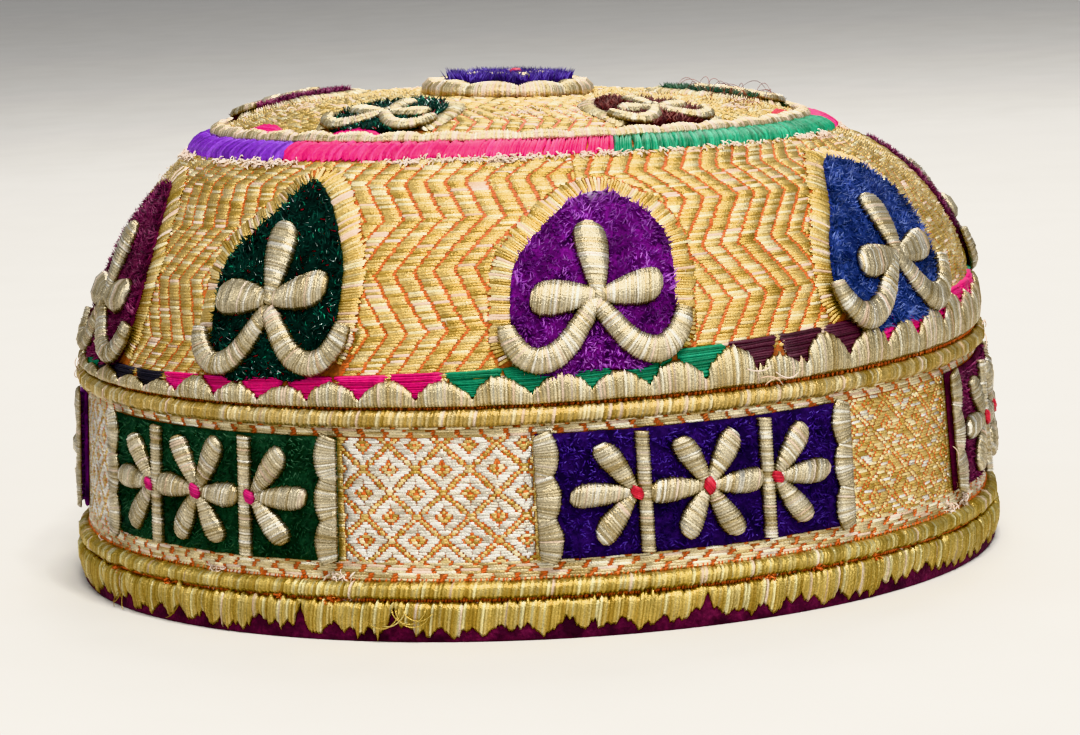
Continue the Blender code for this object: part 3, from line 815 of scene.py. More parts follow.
def heartGold(heart, place, shade):
    # Three padded petals, the scrolled cord under them and the knot between. Those on the top lie flatter.
    scale, run, width, height = heart["scale"], heart["run"], heart["width"], heart["height"]
    low = {"rise": 1.15, "lift": 1.2} if heart["top"] else {}
    look = dict(heartThread, shade=shade) | low
    middle = (heart["middle"][0], run + heart["middle"][1])
    parts = []
    for turn, length, wide in ((91.0, 1.06, 1.0), (5.0, 0.95, 0.98), (176.0, 0.97, 1.0)):
        heading = math.radians(turn)
        start = (middle[0] + 0.6 * math.cos(heading), middle[1] + 0.6 * math.sin(heading))
        parts.append(petal(
            place, start, math.radians(turn + 2.0 * chance.standard_normal()),
            hearts["petalLength"] * length * scale, hearts["petalWidth"] * wide * scale, look,
        ))
    half = [(u * width, run + v * height) for u, v in cordLine]
    path = smoothOutline([(-u, v) for u, v in reversed(half)] + half[1:], 60, closed=False)
    widths = np.array(tuple(reversed(cordWidths)) + cordWidths[1:]) * hearts["cordWidth"] * scale
    widths = np.interp(np.linspace(0, 1, 60), np.linspace(0, 1, len(widths)), widths)
    parts.append(satin(place, path, widths, dict(heartCord, shade=shade) | low))
    knotLift = 1.5 if heart["top"] else 2.15
    parts.append(knot(place, middle, 1.25 * scale ** 0.5, knotLift, "silverGold", 0, gilding))
    return parts


def wayAlong(outline):
    # The direction of a closed outline at each of its points, not brought to one length.
    return np.roll(outline, -1, 0) - np.roll(outline, 1, 0)


def heartBorder(heart, shade):
    # The satin border: threads square to the outline, from under the velvet's edge outwards, then its
    # orange ticks.
    outline, middle, top = heart["outline"], math.radians(heart["angle"]), heart["top"]
    girth = np.linalg.norm(np.roll(outline, -1, 0) - outline, axis=1).sum()
    border = smoothOutline(outline, int(girth / 0.45))
    tangent = wayAlong(border)
    tangent /= np.linalg.norm(tangent, axis=1, keepdims=True)
    out = np.stack([tangent[:, 1], -tangent[:, 0]], 1)
    keep = border[:, 1] > heart["run"] + 0.10 * heart["height"]
    border, out = border[keep], out[keep]
    count = len(border)
    drift = np.array([noise.noise(Vector((u / 2.5, v / 2.5, heart["angle"]))) for u, v in border])
    reach = heart["border"] * (1.0 + 0.16 * drift) + 0.3 * chance.standard_normal(count)
    inner, outer = border - 0.25 * out, border + out * reach[:, None]
    worn = chance.random(count) < 0.12
    dyes = pickShades(shade if top else "brocadeGold", count)
    dyes[worn] = pickShades("wornCream", int(worn.sum()))
    rise = (0.6 if top else 0.36) + 0.08 * chance.standard_normal(count)
    threads = strands(
        middle + inner[:, 0] / radiusAt(inner[:, 1]), inner[:, 1],
        middle + outer[:, 0] / radiusAt(outer[:, 1]), outer[:, 1],
        0.54, rise, 0.28, dyes, np.where(worn, 0.1, gilding),
        (0.0, 0.08, 0.5, 0.9, 1.0), (0.4, 1.2, 1.4, 0.7, -1.0),
    )
    ticks = border + out * (reach[:, None] + 0.25)
    ticks = ticks[chance.random(count) < 0.4]
    count = len(ticks)
    slope = 0.35 * chance.random(count)
    return [threads, strands(
        middle + (ticks[:, 0] - 0.35) / radiusAt(ticks[:, 1]), ticks[:, 1] - slope,
        middle + (ticks[:, 0] + 0.35) / radiusAt(ticks[:, 1]), ticks[:, 1] + slope,
        0.36, 0.26, 0.05, pickShades("orange", count), np.zeros(count), (0.0, 0.5, 1.0), (0.0, 1.0, 0.0),
        slotIndex=1,
    )]


# Metal strip caught in the dark heart's pile glints green, white and red.
glints = ("#4FD0A0", "#E4F8F0", "#1E7A5C", "#C83848", "#C8DCD4")
borderParts = []
for heart in allHearts:
    name, velvet, outline = heart["name"], heart["velvet"], heart["outline"]
    place = onPatch(heart["angle"])
    centre = (0.0, heart["run"] + 0.42 * heart["height"])
    marks = heartWear if name == "heart_1" else None
    mesh = puffed(name + "_velvet", place, outline, centre, heartVelvet, marks)
    addPiece(name + "_velvet", mesh, [velvets[velvet]], "velvet_" + velvet, name)
    tufts = [pileSpikes(
        place, outline, 1.05, velvetTips[velvet], pile, share=1.4 * heart["scale"], marks=marks
    )]
    if velvet == "dark":
        tufts.append(pileSpikes(place, outline, 1.2, glints, dict(pile, width=0.3, length=0.9), 1, 0.9, 0.32))
    sew(name + "_pile", tufts, [cutPile, giltThread], "velvet_" + velvet)
    shade = "paleGold" if heart["top"] else "silverGold"
    node = name.replace("heart", "trefoil")
    sew(node + "_gold", heartGold(heart, place, shade), [silverThread], "silver_gold_thread", node)
    borderParts += heartBorder(heart, shade)

sew("heartBorders", borderParts, [giltThread, silkFloss], "gold_thread")
print("hearts sewn")

# Brocade of the crown.

brocade = {
    "pitch": 0.50,
    "period": 3.8,
    "gap": 0.60,
    "zigzagRuns": (45.5, 51.2, 57.2, 67.8, 77.8, 86.0, 92.5),
    "zigzagShift": (-2.5, 2.2, 6.8, 0.0, 8.4, 3.8, 8.5),
}


def trimmed(angle0, angle1, run, free):
    # Floats cut back to where the cloth is free, and those with nothing left dropped.
    t = np.linspace(0.0, 1.0, 11)[None]
    sample = angle0[:, None] + (angle1 - angle0)[:, None] * t
    ok = free(sample, np.broadcast_to(run[:, None], sample.shape))
    first, last = ok.argmax(1), ok.shape[1] - 1 - ok[:, ::-1].argmax(1)
    start = angle0 + (angle1 - angle0) * first / 10.0
    end = angle0 + (angle1 - angle0) * last / 10.0
    keep = ok.any(1) & ((end - start) * radiusAt(run) > 0.55) & (ok.sum(1) >= (last - first + 1) * 0.9)
    return start[keep], end[keep], run[keep]


def brocadeParts(sectors, low, high, look, free):
    starts, ends, levels, tickAngles, tickRuns = [], [], [], [], []
    for middle, reach, phase in sectors:
        for run in np.arange(low, high, look["pitch"]):
            radius = float(radiusAt(run))
            limit = reach * radius
            shift = phase + float(np.interp(run, look["zigzagRuns"], look["zigzagShift"]))
            lines = np.arange(-math.ceil(limit / look["period"]) - 3, math.ceil(limit / look["period"]) + 3)
            lines = lines * look["period"] + shift + 0.12 * chance.standard_normal(len(lines))
            lines = lines[(lines > -limit - look["period"]) & (lines < limit + look["period"])]
            a = np.clip(lines[:-1] + 0.5 * look["gap"], -limit, limit)
            b = np.clip(lines[1:] - 0.5 * look["gap"], -limit, limit)
            good = b - a > 0.4
            starts.append(middle + a[good] / radius)
            ends.append(middle + b[good] / radius)
            levels.append(np.full(int(good.sum()), run))
            inside = np.abs(lines) < limit
            tickAngles.append(middle + lines[inside] / radius)
            tickRuns.append(np.full(int(inside.sum()), run))
    starts, ends, levels = (np.concatenate(x) for x in (starts, ends, levels))
    starts, ends, levels = trimmed(starts, ends, levels, free)
    wave = 0.16 * np.sin(7.0 * starts + 0.31 * levels) + 0.10 * np.sin(23.0 * starts)
    count = len(starts)
    # Worn places come in groups of neighbouring floats.
    rub = np.array([noise.noise(Vector((80.0 * a, 0.35 * r, 1.0))) for a, r in zip(starts, levels)])
    worn = rub + 0.25 * chance.standard_normal(count) > 0.62
    dyes = pickShades("brocadeGold", count)
    dyes[worn] = pickShades("wornCream", int(worn.sum()))
    parts = [strands(
        starts, levels + wave, ends, levels + wave + 0.05 * chance.standard_normal(count),
        0.56, 0.32 + 0.09 * chance.standard_normal(count), 0.06, dyes, np.where(worn, 0.1, gilding),
        (0.0, 0.12, 0.86, 1.0), (-0.5, 1.15, 0.95, -0.6), bow=0.07 * chance.standard_normal(count),
    )]
    tickAngles, tickRuns = np.concatenate(tickAngles), np.concatenate(tickRuns)
    ok = free(tickAngles, tickRuns)
    tickAngles, tickRuns = tickAngles[ok], tickRuns[ok]
    count = len(tickAngles)
    radius = radiusAt(tickRuns)
    tickRuns = tickRuns + 0.16 * np.sin(7.0 * tickAngles + 0.31 * tickRuns)
    reach = 0.42 + 0.06 * chance.standard_normal(count)
    parts.append(strands(
        tickAngles - reach / radius, tickRuns - 0.14, tickAngles + reach / radius, tickRuns + 0.14,
        0.30, 0.15, 0.0, pickShades("orange", count), np.zeros(count), (0.0, 0.5, 1.0), (-0.2, 1.0, -0.2),
        slotIndex=1,
    ))
    return parts


angles = np.array(sorted((a + 180.0) % 360.0 - 180.0 for a in hearts["angles"]))
sectors = []
for index, angle in enumerate(angles):
    following = angles[(index + 1) % len(angles)] + (360.0 if index == len(angles) - 1 else 0.0)
    middle = 0.5 * (angle + following)
    phase = {-13.25: 1.06, 31.25: 2.3}.get(round(middle, 2), 3.8 * chance.random())
    sectors.append((math.radians(middle), math.radians(0.5 * (following - angle)), phase))

crownTop = runAtRadius(topRing["outer"]) - 0.3
parts = brocadeParts(sectors, seamRun + 5.2, crownTop, brocade, lambda a, r: clearOfHearts(a, r, False, -0.1))
sew("crownBrocade", parts, [giltThread, silkFloss], "brocade")

topLook = dict(
    brocade, zigzagRuns=(95.0, 108.0, 121.0, 134.0, 150.0), zigzagShift=(0.0, 5.0, 0.0, 5.0, 0.0), period=3.2,
    pitch=0.55,
)
topSectors = [
    (math.radians(angle + 37.0), math.radians(37.0), 3.0 * chance.random()) for angle in topHearts["angles"]
]
topLow = runAtRadius(topRing["inner"]) + 3.6
parts = brocadeParts(
    topSectors, topLow, topRun - 17.0, topLook, lambda a, r: clearOfHearts(a, r, True, -0.1)
)
sew("topBrocade", parts, [giltThread, silkFloss], "brocade")
print("brocade of the crown woven")

# Band: panels and lattice.

panels = {
    "angles": (20.0, 82.5, 141.0, 199.0, 257.5, 316.0),
    "velvets": ("violet", "maroon", "blue", "green", "purple", "green"),
    "width": 62.0,
    "height": 23.0,
    "run": 26.1,
    "petalLength": 10.2,
    "petalWidth": 4.8,
    "barOffset": 11.9,
    "knotOffset": 13.5,
    "barWidth": 2.8,
    "stripWidth": 4.5,
}
panelVelvet = {"rings": 22, "tuft": 0.85, "height": 0.85, "pile": 0.24, "lift": 0.6, "bottom": 0.3}
panelThread = {"pitch": 0.56, "rise": 1.55, "lift": 1.75, "ridge": 0.26, "fray": 0.14, "shade": "silverGold",
               "slant": 0.22, "worn": 0.04}
barThread = dict(panelThread, rise=1.35, slant=0.1)
stripThread = dict(panelThread, rise=0.95, slant=0.0, pitch=0.52)

for index, angle in enumerate(panels["angles"]):
    place = onPatch(angle)
    name, velvet = f"panel_{index + 1}", panels["velvets"][index]
    w, h, run = 0.5 * panels["width"], 0.5 * panels["height"], panels["run"]
    frameLine = []
    for a, b in (((w, -h), (w, h)), ((w, h), (-w, h)), ((-w, h), (-w, -h)), ((-w, -h), (w, -h))):
        steps = 18 if a[0] == b[0] else 42
        frameLine += [(a[0] + (b[0] - a[0]) * t, run + a[1] + (b[1] - a[1]) * t)
                      for t in np.linspace(0, 1, steps, endpoint=False)]
    # The outline starts at the right, so that the spun round lines up with it.
    frameLine = np.roll(np.array(frameLine), -9, 0)
    mesh = puffed(name + "_velvet", place, frameLine, (0.0, run), panelVelvet)
    addPiece(name + "_velvet", mesh, [velvets[velvet]], "velvet_" + velvet, name)
    tufts = [pileSpikes(place, frameLine, 1.05, velvetTips[velvet], dict(pile, inset=0.7))]
    sew(name + "_pile", tufts, [cutPile], "velvet_" + velvet)
    parts = []
    for k in range(6):
        turn = math.radians(60.0 * k + 2.5 * chance.standard_normal())
        start = (0.9 * math.cos(turn), run + 0.9 * math.sin(turn))
        length = panels["petalLength"] * (0.98 + 0.04 * chance.standard_normal())
        parts.append(petal(place, start, turn, length, panels["petalWidth"], panelThread))
    for side in (1.0, -1.0):
        centre = (side * panels["knotOffset"], run)
        for degrees, length in ((-52.0, 10.4), (0.0, 11.2), (52.0, 10.4)):
            turn = math.radians((0.0 if side > 0 else 180.0) + degrees + 2.0 * chance.standard_normal())
            start = (centre[0] + 0.8 * math.cos(turn), run + 0.8 * math.sin(turn))
            parts.append(petal(place, start, turn, length, panels["petalWidth"], panelThread))
        bar = [(side * panels["barOffset"], run + h * t) for t in np.linspace(-0.97, 0.97, 9)]
        parts.append(satin(place, bar, np.full(9, panels["barWidth"]), barThread))
        t = np.linspace(0.0, 1.0, 40)
        lobes = panels["stripWidth"] * (0.72 + 0.34 * np.abs(np.sin(3.0 * math.pi * t)) ** 0.8)
        strip = np.stack([side * (w + 0.6 - 0.5 * lobes), run - h - 0.3 + (2.0 * h + 0.6) * t], 1)
        parts.append(satin(place, strip, lobes, stripThread))
    shade = "knotPink" if velvet == "green" else "red"
    parts.append(knot(place, (0.0, run), 1.55, 2.6, shade, 1))
    for side in (1.0, -1.0):
        parts.append(knot(place, (side * panels["knotOffset"], run), 1.4, 2.7, shade, 1))
    node = f"panel_flowers_{index + 1}"
    sew(node + "_gold", parts, [silverThread, silkFloss], "silver_gold_thread", node)

lattice = {
    "across": 10.1,
    "up": 8.8,
    "run": 27.3,
    "low": 14.7,
    "high": 37.6,
    "pitch": 0.50,
    "longest": 3.0,
}


def latticeParts():
    angle0, angle1, levels, kinds = [], [], [], []
    spots = sorted(panels["angles"])
    for index, angle in enumerate(spots):
        following = spots[(index + 1) % len(spots)] + (360.0 if index == len(spots) - 1 else 0.0)
        middle = math.radians(0.5 * (angle + following))
        width = math.radians(following - angle) * 91.0 - panels["width"]
        offset = {-12.0: -2.4}.get(round(math.degrees(middle) - 360.0, 1), 0.0)
        for run in np.arange(lattice["low"], lattice["high"], lattice["pitch"]):
            radius = float(radiusAt(run))
            u = np.arange(-0.5 * width, 0.5 * width, 0.22)
            x = (u - offset * radius / 57.3) / lattice["across"]
            y = (run + 0.1 * chance.standard_normal() - lattice["run"]) / lattice["up"]
            p = 2.0 * (np.abs(x - np.round(x)) + abs(y - round(y)))
            p = np.minimum(p, 2.0 - p)
            kind = np.select([p < 0.10, p < 0.31, p < 0.38, p < 0.84, p < 0.905], [2, 1, 2, 0, 2], 1)
            edge = 0.5 * width - np.abs(u)
            kind = np.where(edge < 1.9, 1, kind)
            kind = np.where(edge < 0.35, 2, kind)
            cuts = np.flatnonzero(np.diff(kind)) + 1
            for first, last in zip(np.concatenate([[0], cuts]), np.concatenate([cuts, [len(u)]])):
                k = int(kind[first])
                a, b = u[first], u[min(last, len(u) - 1)]
                pieces = max(1, math.ceil((b - a) / lattice["longest"])) if k != 2 else 1
                marks = np.linspace(a, b, pieces + 1)
                for c, d in zip(marks[:-1], marks[1:]):
                    if d - c > 0.3:
                        angle0.append(middle + (c + 0.04) / radius)
                        angle1.append(middle + (d - 0.04) / radius)
                        levels.append(run)
                        kinds.append(k)
    angle0, angle1, levels, kinds = (np.array(x) for x in (angle0, angle1, levels, kinds))
    metalShape = ((0.0, 0.2, 0.8, 1.0), (-0.4, 1.0, 0.9, -0.4))
    tieShape = ((0.0, 0.5, 1.0), (-0.3, 1.0, -0.3))
    parts = []
    for k, shade, shine, rise, base, shape in (
        (0, "silver", gilding, 0.22, 0.06, metalShape), (1, "brocadeGold", gilding, 0.22, 0.06, metalShape),
        (2, "orange", 0.0, 0.17, 0.02, tieShape),
    ):
        chosen = kinds == k
        count = int(chosen.sum())
        dyes = pickShades(shade, count)
        if k == 0:
            # The ground is silver at the left of the front and gold at its right.
            golden = (np.degrees(angle0[chosen]) % 360.0 < 90.0) & (chance.random(count) < 0.8)
            dyes[golden] = pickShades("brocadeGold", int(golden.sum()))
        parts.append(strands(
            angle0[chosen], levels[chosen] + 0.05 * chance.standard_normal(count), angle1[chosen],
            levels[chosen] + 0.05 * chance.standard_normal(count), 0.52, rise, base, dyes,
            np.full(count, shine), *shape, slotIndex=1 if k == 2 else 0,
        ))
    return parts


def marginParts(low, rows, period, step):
    # Rows of long floats along a margin, their orange ties stepping sideways from row to row.
    parts = []
    for row in range(rows):
        run = low + 0.5 * row
        radius = float(radiusAt(run))
        count = int(fullTurn * radius / period)
        spots = (np.arange(count) + step * row + (0.5 if row % 6 > 2 else 0.0)) * fullTurn / count
        spots = spots + 0.25 / radius * chance.standard_normal(count)
        gap = 0.45 / radius
        dyes, worn = wornShades("paleGold", count, 0.12)
        wave = 0.12 * np.sin(11.0 * spots)
        parts.append(strands(
            spots + gap, run + wave, spots + fullTurn / count - gap, run + wave, 0.54, 0.26, 0.06, dyes,
            np.where(worn, 0.1, gilding), (0.0, 0.12, 0.88, 1.0), (-0.5, 1.0, 0.9, -0.5),
        ))
        parts.append(strands(
            spots - gap, run - 0.22 + wave, spots + gap, run + 0.22 + wave, 0.38, 0.24, 0.02,
            pickShades("orange", count), np.zeros(count), (0.0, 0.5, 1.0), (-0.2, 1.0, -0.2), slotIndex=1,
        ))
    return parts


parts = latticeParts()
parts += marginParts(11.3, 7, 4.6, 0.07) + marginParts(37.85, 4, 4.6, -0.07)
sew("bandBrocade", parts, [giltThread, silkFloss], "brocade")
print("band worked")

# Rim and seam trims.

trims = {
    "rimPipingRun": 9.4,
    "seamPipingRun": 41.1,
    "pipingWidth": 3.3,
    "edgingTop": 7.4,
    "scallops": 52,
    "gaps": (-29.0, -17.2, 19.3),
    "teeth": 168,
    "reach": 90.0,
}


def roundTrip(count):
    return np.linspace(0.0, fullTurn, count, endpoint=False)


def closedSatin(places, shade, share, ridge, grooveShadow=0.66):
    # The threads of a closed ring, with this share of them worn and the grooves between them in shadow.
    dyes, worn = wornShades(shade, len(ridge), share)
    # Painted shade: the groove columns are darkened by this factor.
    dyes = np.where(ridge[:, None] > 0, dyes, grooveShadow * dyes)
    return gridPart(places, True, True, dyes[None, :, None], np.where(worn, 0.1, gilding)[None, :, None])


def ringSatin(run, width, look, lowRuns=None):
    # Satin laid round the whole cap: each thread goes from a lower to an upper run.
    radius = float(radiusAt(run))
    columns = 2 * int(fullTurn * radius / look["pitch"])
    ridge = ridges(columns)
    angle = roundTrip(columns) + ridge * 0.1 * look["pitch"] / radius * chance.standard_normal(columns)
    low = np.full(columns, run - 0.5 * width) if lowRuns is None else lowRuns(angle)
    high = np.full(columns, run + 0.5 * width)
    low = low + ridge * look["fray"] * chance.standard_normal(columns)
    high = high + ridge * look["fray"] * chance.standard_normal(columns)
    swell = 1.0 + 0.05 * np.sin(37.0 * angle) + 0.04 * np.sin(91.0 * angle + 1.0)
    rise = look["rise"] * swell + look["ridge"] * (ridge - 0.5)
    rise = rise * np.clip((high - low) / width, 0.25, 1.0) ** 0.5
    share = look.get("across", satinAcross)
    up = look.get("up", satinUp)
    levels = low[:, None] + (high - low)[:, None] * share
    lean = look["slant"] * (share - 0.5) * (high - low)[:, None] / radius
    places = onCap(angle[:, None] + lean, levels, look["lift"] + up * rise[:, None])[None]
    return closedSatin(places, look["shade"], look["worn"], ridge)


def orangeTicks(run, pitch, length, base, shade="orange"):
    radius = float(radiusAt(run))
    count = int(fullTurn * radius / pitch)
    spots = roundTrip(count) + 0.15 * pitch / radius * chance.standard_normal(count)
    return strands(
        spots - 0.1 / radius, np.full(count, run - 0.5 * length), spots + 0.1 / radius,
        np.full(count, run + 0.5 * length), 0.4, 0.3, base, pickShades(shade, count), np.zeros(count),
        (0.0, 0.5, 1.0), (0.0, 1.0, 0.0), slotIndex=1,
    )


piping = {"pitch": 0.78, "rise": 1.85, "lift": 0.3, "ridge": 0.42, "fray": 0.16, "shade": "yellowGold",
          "slant": 0.2, "worn": 0.03}
for name, node, run, shade in (
    ("rimPiping", "rim_piping", trims["rimPipingRun"], "yellowGold"),
    ("seamPiping", "seam_piping", trims["seamPipingRun"], "brocadeGold"),
):
    parts = [ringSatin(run, trims["pipingWidth"], dict(piping, shade=shade))]
    parts.append(orangeTicks(run + 0.5 * trims["pipingWidth"] + 0.15, 1.0, 0.7, 0.2))
    addPiece(name, joinParts(name, parts), [giltThread, silkFloss], "gold_thread", node)

toothSpots = roundTrip(trims["teeth"]) + 0.009 * chance.standard_normal(trims["teeth"])
toothDepths = 0.5 + 1.5 * chance.random(trims["teeth"])


def edgingLow(angle):
    # Ragged points: each thread ends on the slope of its nearest tooth.
    away = np.abs(wrapped(angle[:, None] - toothSpots[None])) * trims["reach"]
    low = (toothDepths[None] + 0.9 * away).min(1)
    low = np.clip(low, 0.4, 3.8)
    for gap in trims["gaps"]:
        away = np.abs(wrapped(angle - math.radians(gap))) * trims["reach"]
        low = np.maximum(low, 6.6 - 3.2 * away)
    return low


edging = {"pitch": 0.66, "rise": 1.1, "lift": 1.35, "ridge": 0.4, "fray": 0.35, "shade": "yellowGold",
          "slant": 0.16, "worn": 0.02, "across": np.array([0.0, 0.10, 0.4, 0.78, 0.95, 1.0]),
          "up": np.array([0.0, 0.45, 0.9, 1.0, 0.7, 0.0])}
parts = [ringSatin(trims["edgingTop"] - 2.5, 5.0, edging, edgingLow), orangeTicks(7.75, 0.55, 0.8, 0.9)]
sew("rimEdging", parts, [giltThread, silkFloss], "gold_thread", "rim_edging")

bindingLoop = [
    (0.0, -3.0), (0.0, 0.6), (0.05, 1.0), (0.5, 1.3), (2.0, 1.38), (3.5, 1.36), (5.0, 1.34), (6.4, 1.25),
    (6.8, 0.9), (6.8, 0.3), (1.2, 0.3), (1.2, -3.3), (5.5, -3.3), (5.5, -4.1), (3.0, -4.3), (0.3, -4.2),
]
mesh = spinRound("rimBinding", bindingLoop, 240)
addPiece("rimBinding", mesh, [velvets["maroon"]], "velvet_maroon", "rim_binding")

scallopLook = {"threads": 17, "rise": 1.1, "lift": 0.95, "ridge": 0.34, "fray": 0.28}


def scallopPlaces():
    # Threads fan out of each scallop's foot: closer at the seam, wider at its rounded top.
    pitch = fullTurn / trims["scallops"]
    columns = 2 * scallopLook["threads"] * trims["scallops"]
    ridge = ridges(columns)
    angle = roundTrip(columns)
    share = (angle / pitch) % 1.0 - 0.5
    number = np.floor(angle / pitch).astype(int)
    size = 1.0 + 0.12 * chance.standard_normal(trims["scallops"])
    skew = 0.06 * chance.standard_normal(trims["scallops"])
    skewed = np.clip(share + skew[number] * np.cos(math.pi * share), -0.5, 0.5)
    hump = np.clip(np.cos(math.pi * skewed), 0.0, 1.0)
    peak = seamRun + 0.2 + (1.6 + 3.6 * hump ** 0.85) * np.where(hump > 0.3, size[number], 1.0)
    middle = (number + 0.5) * pitch
    fan = np.array([1.0, 1.0, 1.02, 1.05, 1.07, 1.08])
    spread = middle[:, None] + (angle - middle)[:, None] * fan[None]
    spread = np.where(np.abs(share)[:, None] > 0.44, angle[:, None], spread)
    low = np.full(columns, seamRun + 0.15)
    peak = peak + ridge * scallopLook["fray"] * chance.standard_normal(columns)
    across = np.array([0.0, 0.08, 0.35, 0.75, 0.94, 1.0])
    up = np.array([0.0, 0.7, 1.0, 0.95, 0.55, 0.0])
    levels = low[:, None] + (peak - low)[:, None] * across
    rise = scallopLook["rise"] * np.clip((peak - low) / 5.0, 0.3, 1.0) + scallopLook["ridge"] * (ridge - 0.5)
    places = onCap(spread, levels, scallopLook["lift"] + up * rise[:, None])[None]
    # The grooves of the scallops are darkened to 0.58 as painted shade.
    return closedSatin(places, "paleGold", 0.12, ridge, 0.58)


parts = [scallopPlaces(), orangeTicks(seamRun + 0.05, 1.2, 0.9, 0.5)]
sew("seamScallops", parts, [silverThread, silkFloss], "silver_gold_thread", "seam_scallops")

silkRuns = (
    # from angle, shade
    (-180.0, "green"), (-160.0, "pink"), (-120.0, "brown"), (-95.0, "green"), (-73.0, "dark"),
    (-53.0, "pink"), (-12.7, "green"), (23.4, "brown"), (46.7, "pink"), (85.0, "green"),
    (118.0, "ringPurple"), (150.0, "brown"),
)
topRingRuns = (
    (-180.0, "green"), (-110.0, "ringPurple"), (-44.0, "pink"), (15.3, "green"), (80.0, "pink"),
    (135.0, "green"),
)


def silkShade(angle, table):
    degrees = (math.degrees(angle) + 180.0) % 360.0 - 180.0
    return [shade for start, shade in table if degrees >= start][-1]


def silkNotches():
    # Floss laid level in the notches between the scallops, narrower row by row downwards.
    pitch = fullTurn / trims["scallops"]
    angle0, angle1, levels, dyes = [], [], [], []
    for k in range(trims["scallops"]):
        shade = silkShade(k * pitch, silkRuns)
        for row in range(13):
            run = seamRun + 6.6 - 0.36 * row
            half = (5.2 - 0.17 * row) * (0.98 + 0.03 * chance.standard_normal()) / 87.5
            angle0.append(k * pitch - half)
            angle1.append(k * pitch + half)
            levels.append(run)
            dyes.append(pickShades(shade, 1)[0])
    count = len(levels)
    angle0, angle1, levels, dyes = (np.array(x) for x in (angle0, angle1, levels, dyes))
    return [strands(
        angle0, levels + 0.08 * chance.standard_normal(count),
        angle1, levels + 0.08 * chance.standard_normal(count),
        0.72, 0.80 + 0.06 * chance.standard_normal(count), 0.2, dyes, np.zeros(count),
        (0.0, 0.08, 0.3, 0.55, 0.8, 0.93, 1.0), (-0.1, 0.8, 1.1, 0.9, 1.1, 0.8, -0.1),
        bow=0.08 * chance.standard_normal(count),
    )]


sew("seamSilk", silkNotches(), [silkFloss], "silk_floss", "seam_silk")
print("rim and seam trimmed")

# The top.

topWork = {"cordWidth": 3.4, "cordLobes": 40, "medallion": 16.8, "borderWidth": 4.6, "lobes": 10,
           "velvet": 14.6}


def topRingParts():
    # Floss laid on the slant round the top, in three colours.
    outer = runAtRadius(topRing["outer"])
    inner = runAtRadius(topRing["outer"] - topRing["width"])
    count = 900
    spots = roundTrip(count)
    dyes = np.array([pickShades(silkShade(a, topRingRuns), 1)[0] for a in spots])
    lean = 1.6 / 62.0
    return [strands(
        spots, np.full(count, outer - 0.1) + 0.4 * chance.standard_normal(count), spots + lean,
        np.full(count, inner + 0.1) + 0.3 * chance.standard_normal(count), 0.60,
        1.25 + 0.10 * chance.standard_normal(count), 0.15, dyes, np.zeros(count),
        (0.0, 0.12, 0.35, 0.65, 0.88, 1.0), (-0.1, 0.75, 1.0, 1.0, 0.75, -0.1),
        bow=0.2 * chance.standard_normal(count),
    )]


def topNotches():
    # Floss laid level inside the cord, in the few places where it shows.
    angle0, angle1, levels, dyes = [], [], [], []
    for first, last, shade in ((-65.0, -51.0, "pink"), (-39.0, -25.5, "pink"), (66.0, 76.0, "red"),
                               (120.0, 134.0, "green"), (200.0, 215.0, "pink")):
        for row in range(7):
            angle0.append(math.radians(first + 0.45 * row * (1.0 + 0.3 * chance.random())))
            angle1.append(math.radians(last - 0.45 * row * (1.0 + 0.3 * chance.random())))
            levels.append(99.6 + 0.5 * row)
            dyes.append(pickShades(shade, 1)[0])
    angle0, angle1, levels, dyes = (np.array(x) for x in (angle0, angle1, levels, dyes))
    return strands(
        angle0, levels, angle1, levels, 0.9, 0.9, 0.3, dyes, np.zeros(len(levels)),
        np.linspace(0.0, 1.0, 9), (-0.1, 0.8, 1.0, 0.9, 1.1, 0.9, 1.0, 0.8, -0.1),
    )


parts = topRingParts() + [topNotches()]
sew("topSilkRing", parts, [silkFloss], "silk_floss", "top_silk_ring")


def scallopedRound(radiusOut, width, lobes, look):
    # A satin round on the top: threads point at the middle, and their inner ends rise and fall in lobes.
    outer = runAtRadius(radiusOut)
    columns = 2 * int(fullTurn * radiusOut / look["pitch"])
    ridge = ridges(columns)
    angle = roundTrip(columns)
    wave = np.abs(np.sin(0.5 * lobes * angle)) ** 0.7
    reach = width * (0.62 + 0.38 * wave) + ridge * look["fray"] * chance.standard_normal(columns)
    share = satinAcross
    levels = outer - (look.get("bulge", 0.0) * wave)[:, None] * (1.0 - share) + reach[:, None] * share
    rise = look["rise"] * (0.72 + 0.28 * wave) + look["ridge"] * (ridge - 0.5)
    places = onCap(angle[:, None], levels, look["lift"] + satinUp * rise[:, None])[None]
    return closedSatin(places, look["shade"], look["worn"], ridge)


cordLook = {"pitch": 0.54, "rise": 1.2, "lift": 0.3, "ridge": 0.28, "fray": 0.25, "shade": "paleGold",
            "worn": 0.3}
radiusIn = topRing["outer"] - topRing["width"]
parts = [scallopedRound(radiusIn - 0.2, topWork["cordWidth"], topWork["cordLobes"], cordLook)]
sew("topCord", parts, [giltThread], "gold_thread", "top_cord")

medallionLook = {"pitch": 0.54, "rise": 2.9, "lift": 0.35, "ridge": 0.3, "fray": 0.3, "shade": "paleGold",
                 "worn": 0.3, "bulge": 0.9}
parts = [scallopedRound(
    topWork["medallion"] - 0.3, topWork["borderWidth"] + 0.6, topWork["lobes"], medallionLook
)]
sew("medallionBorder", parts, [giltThread], "gold_thread", "medallion_border")

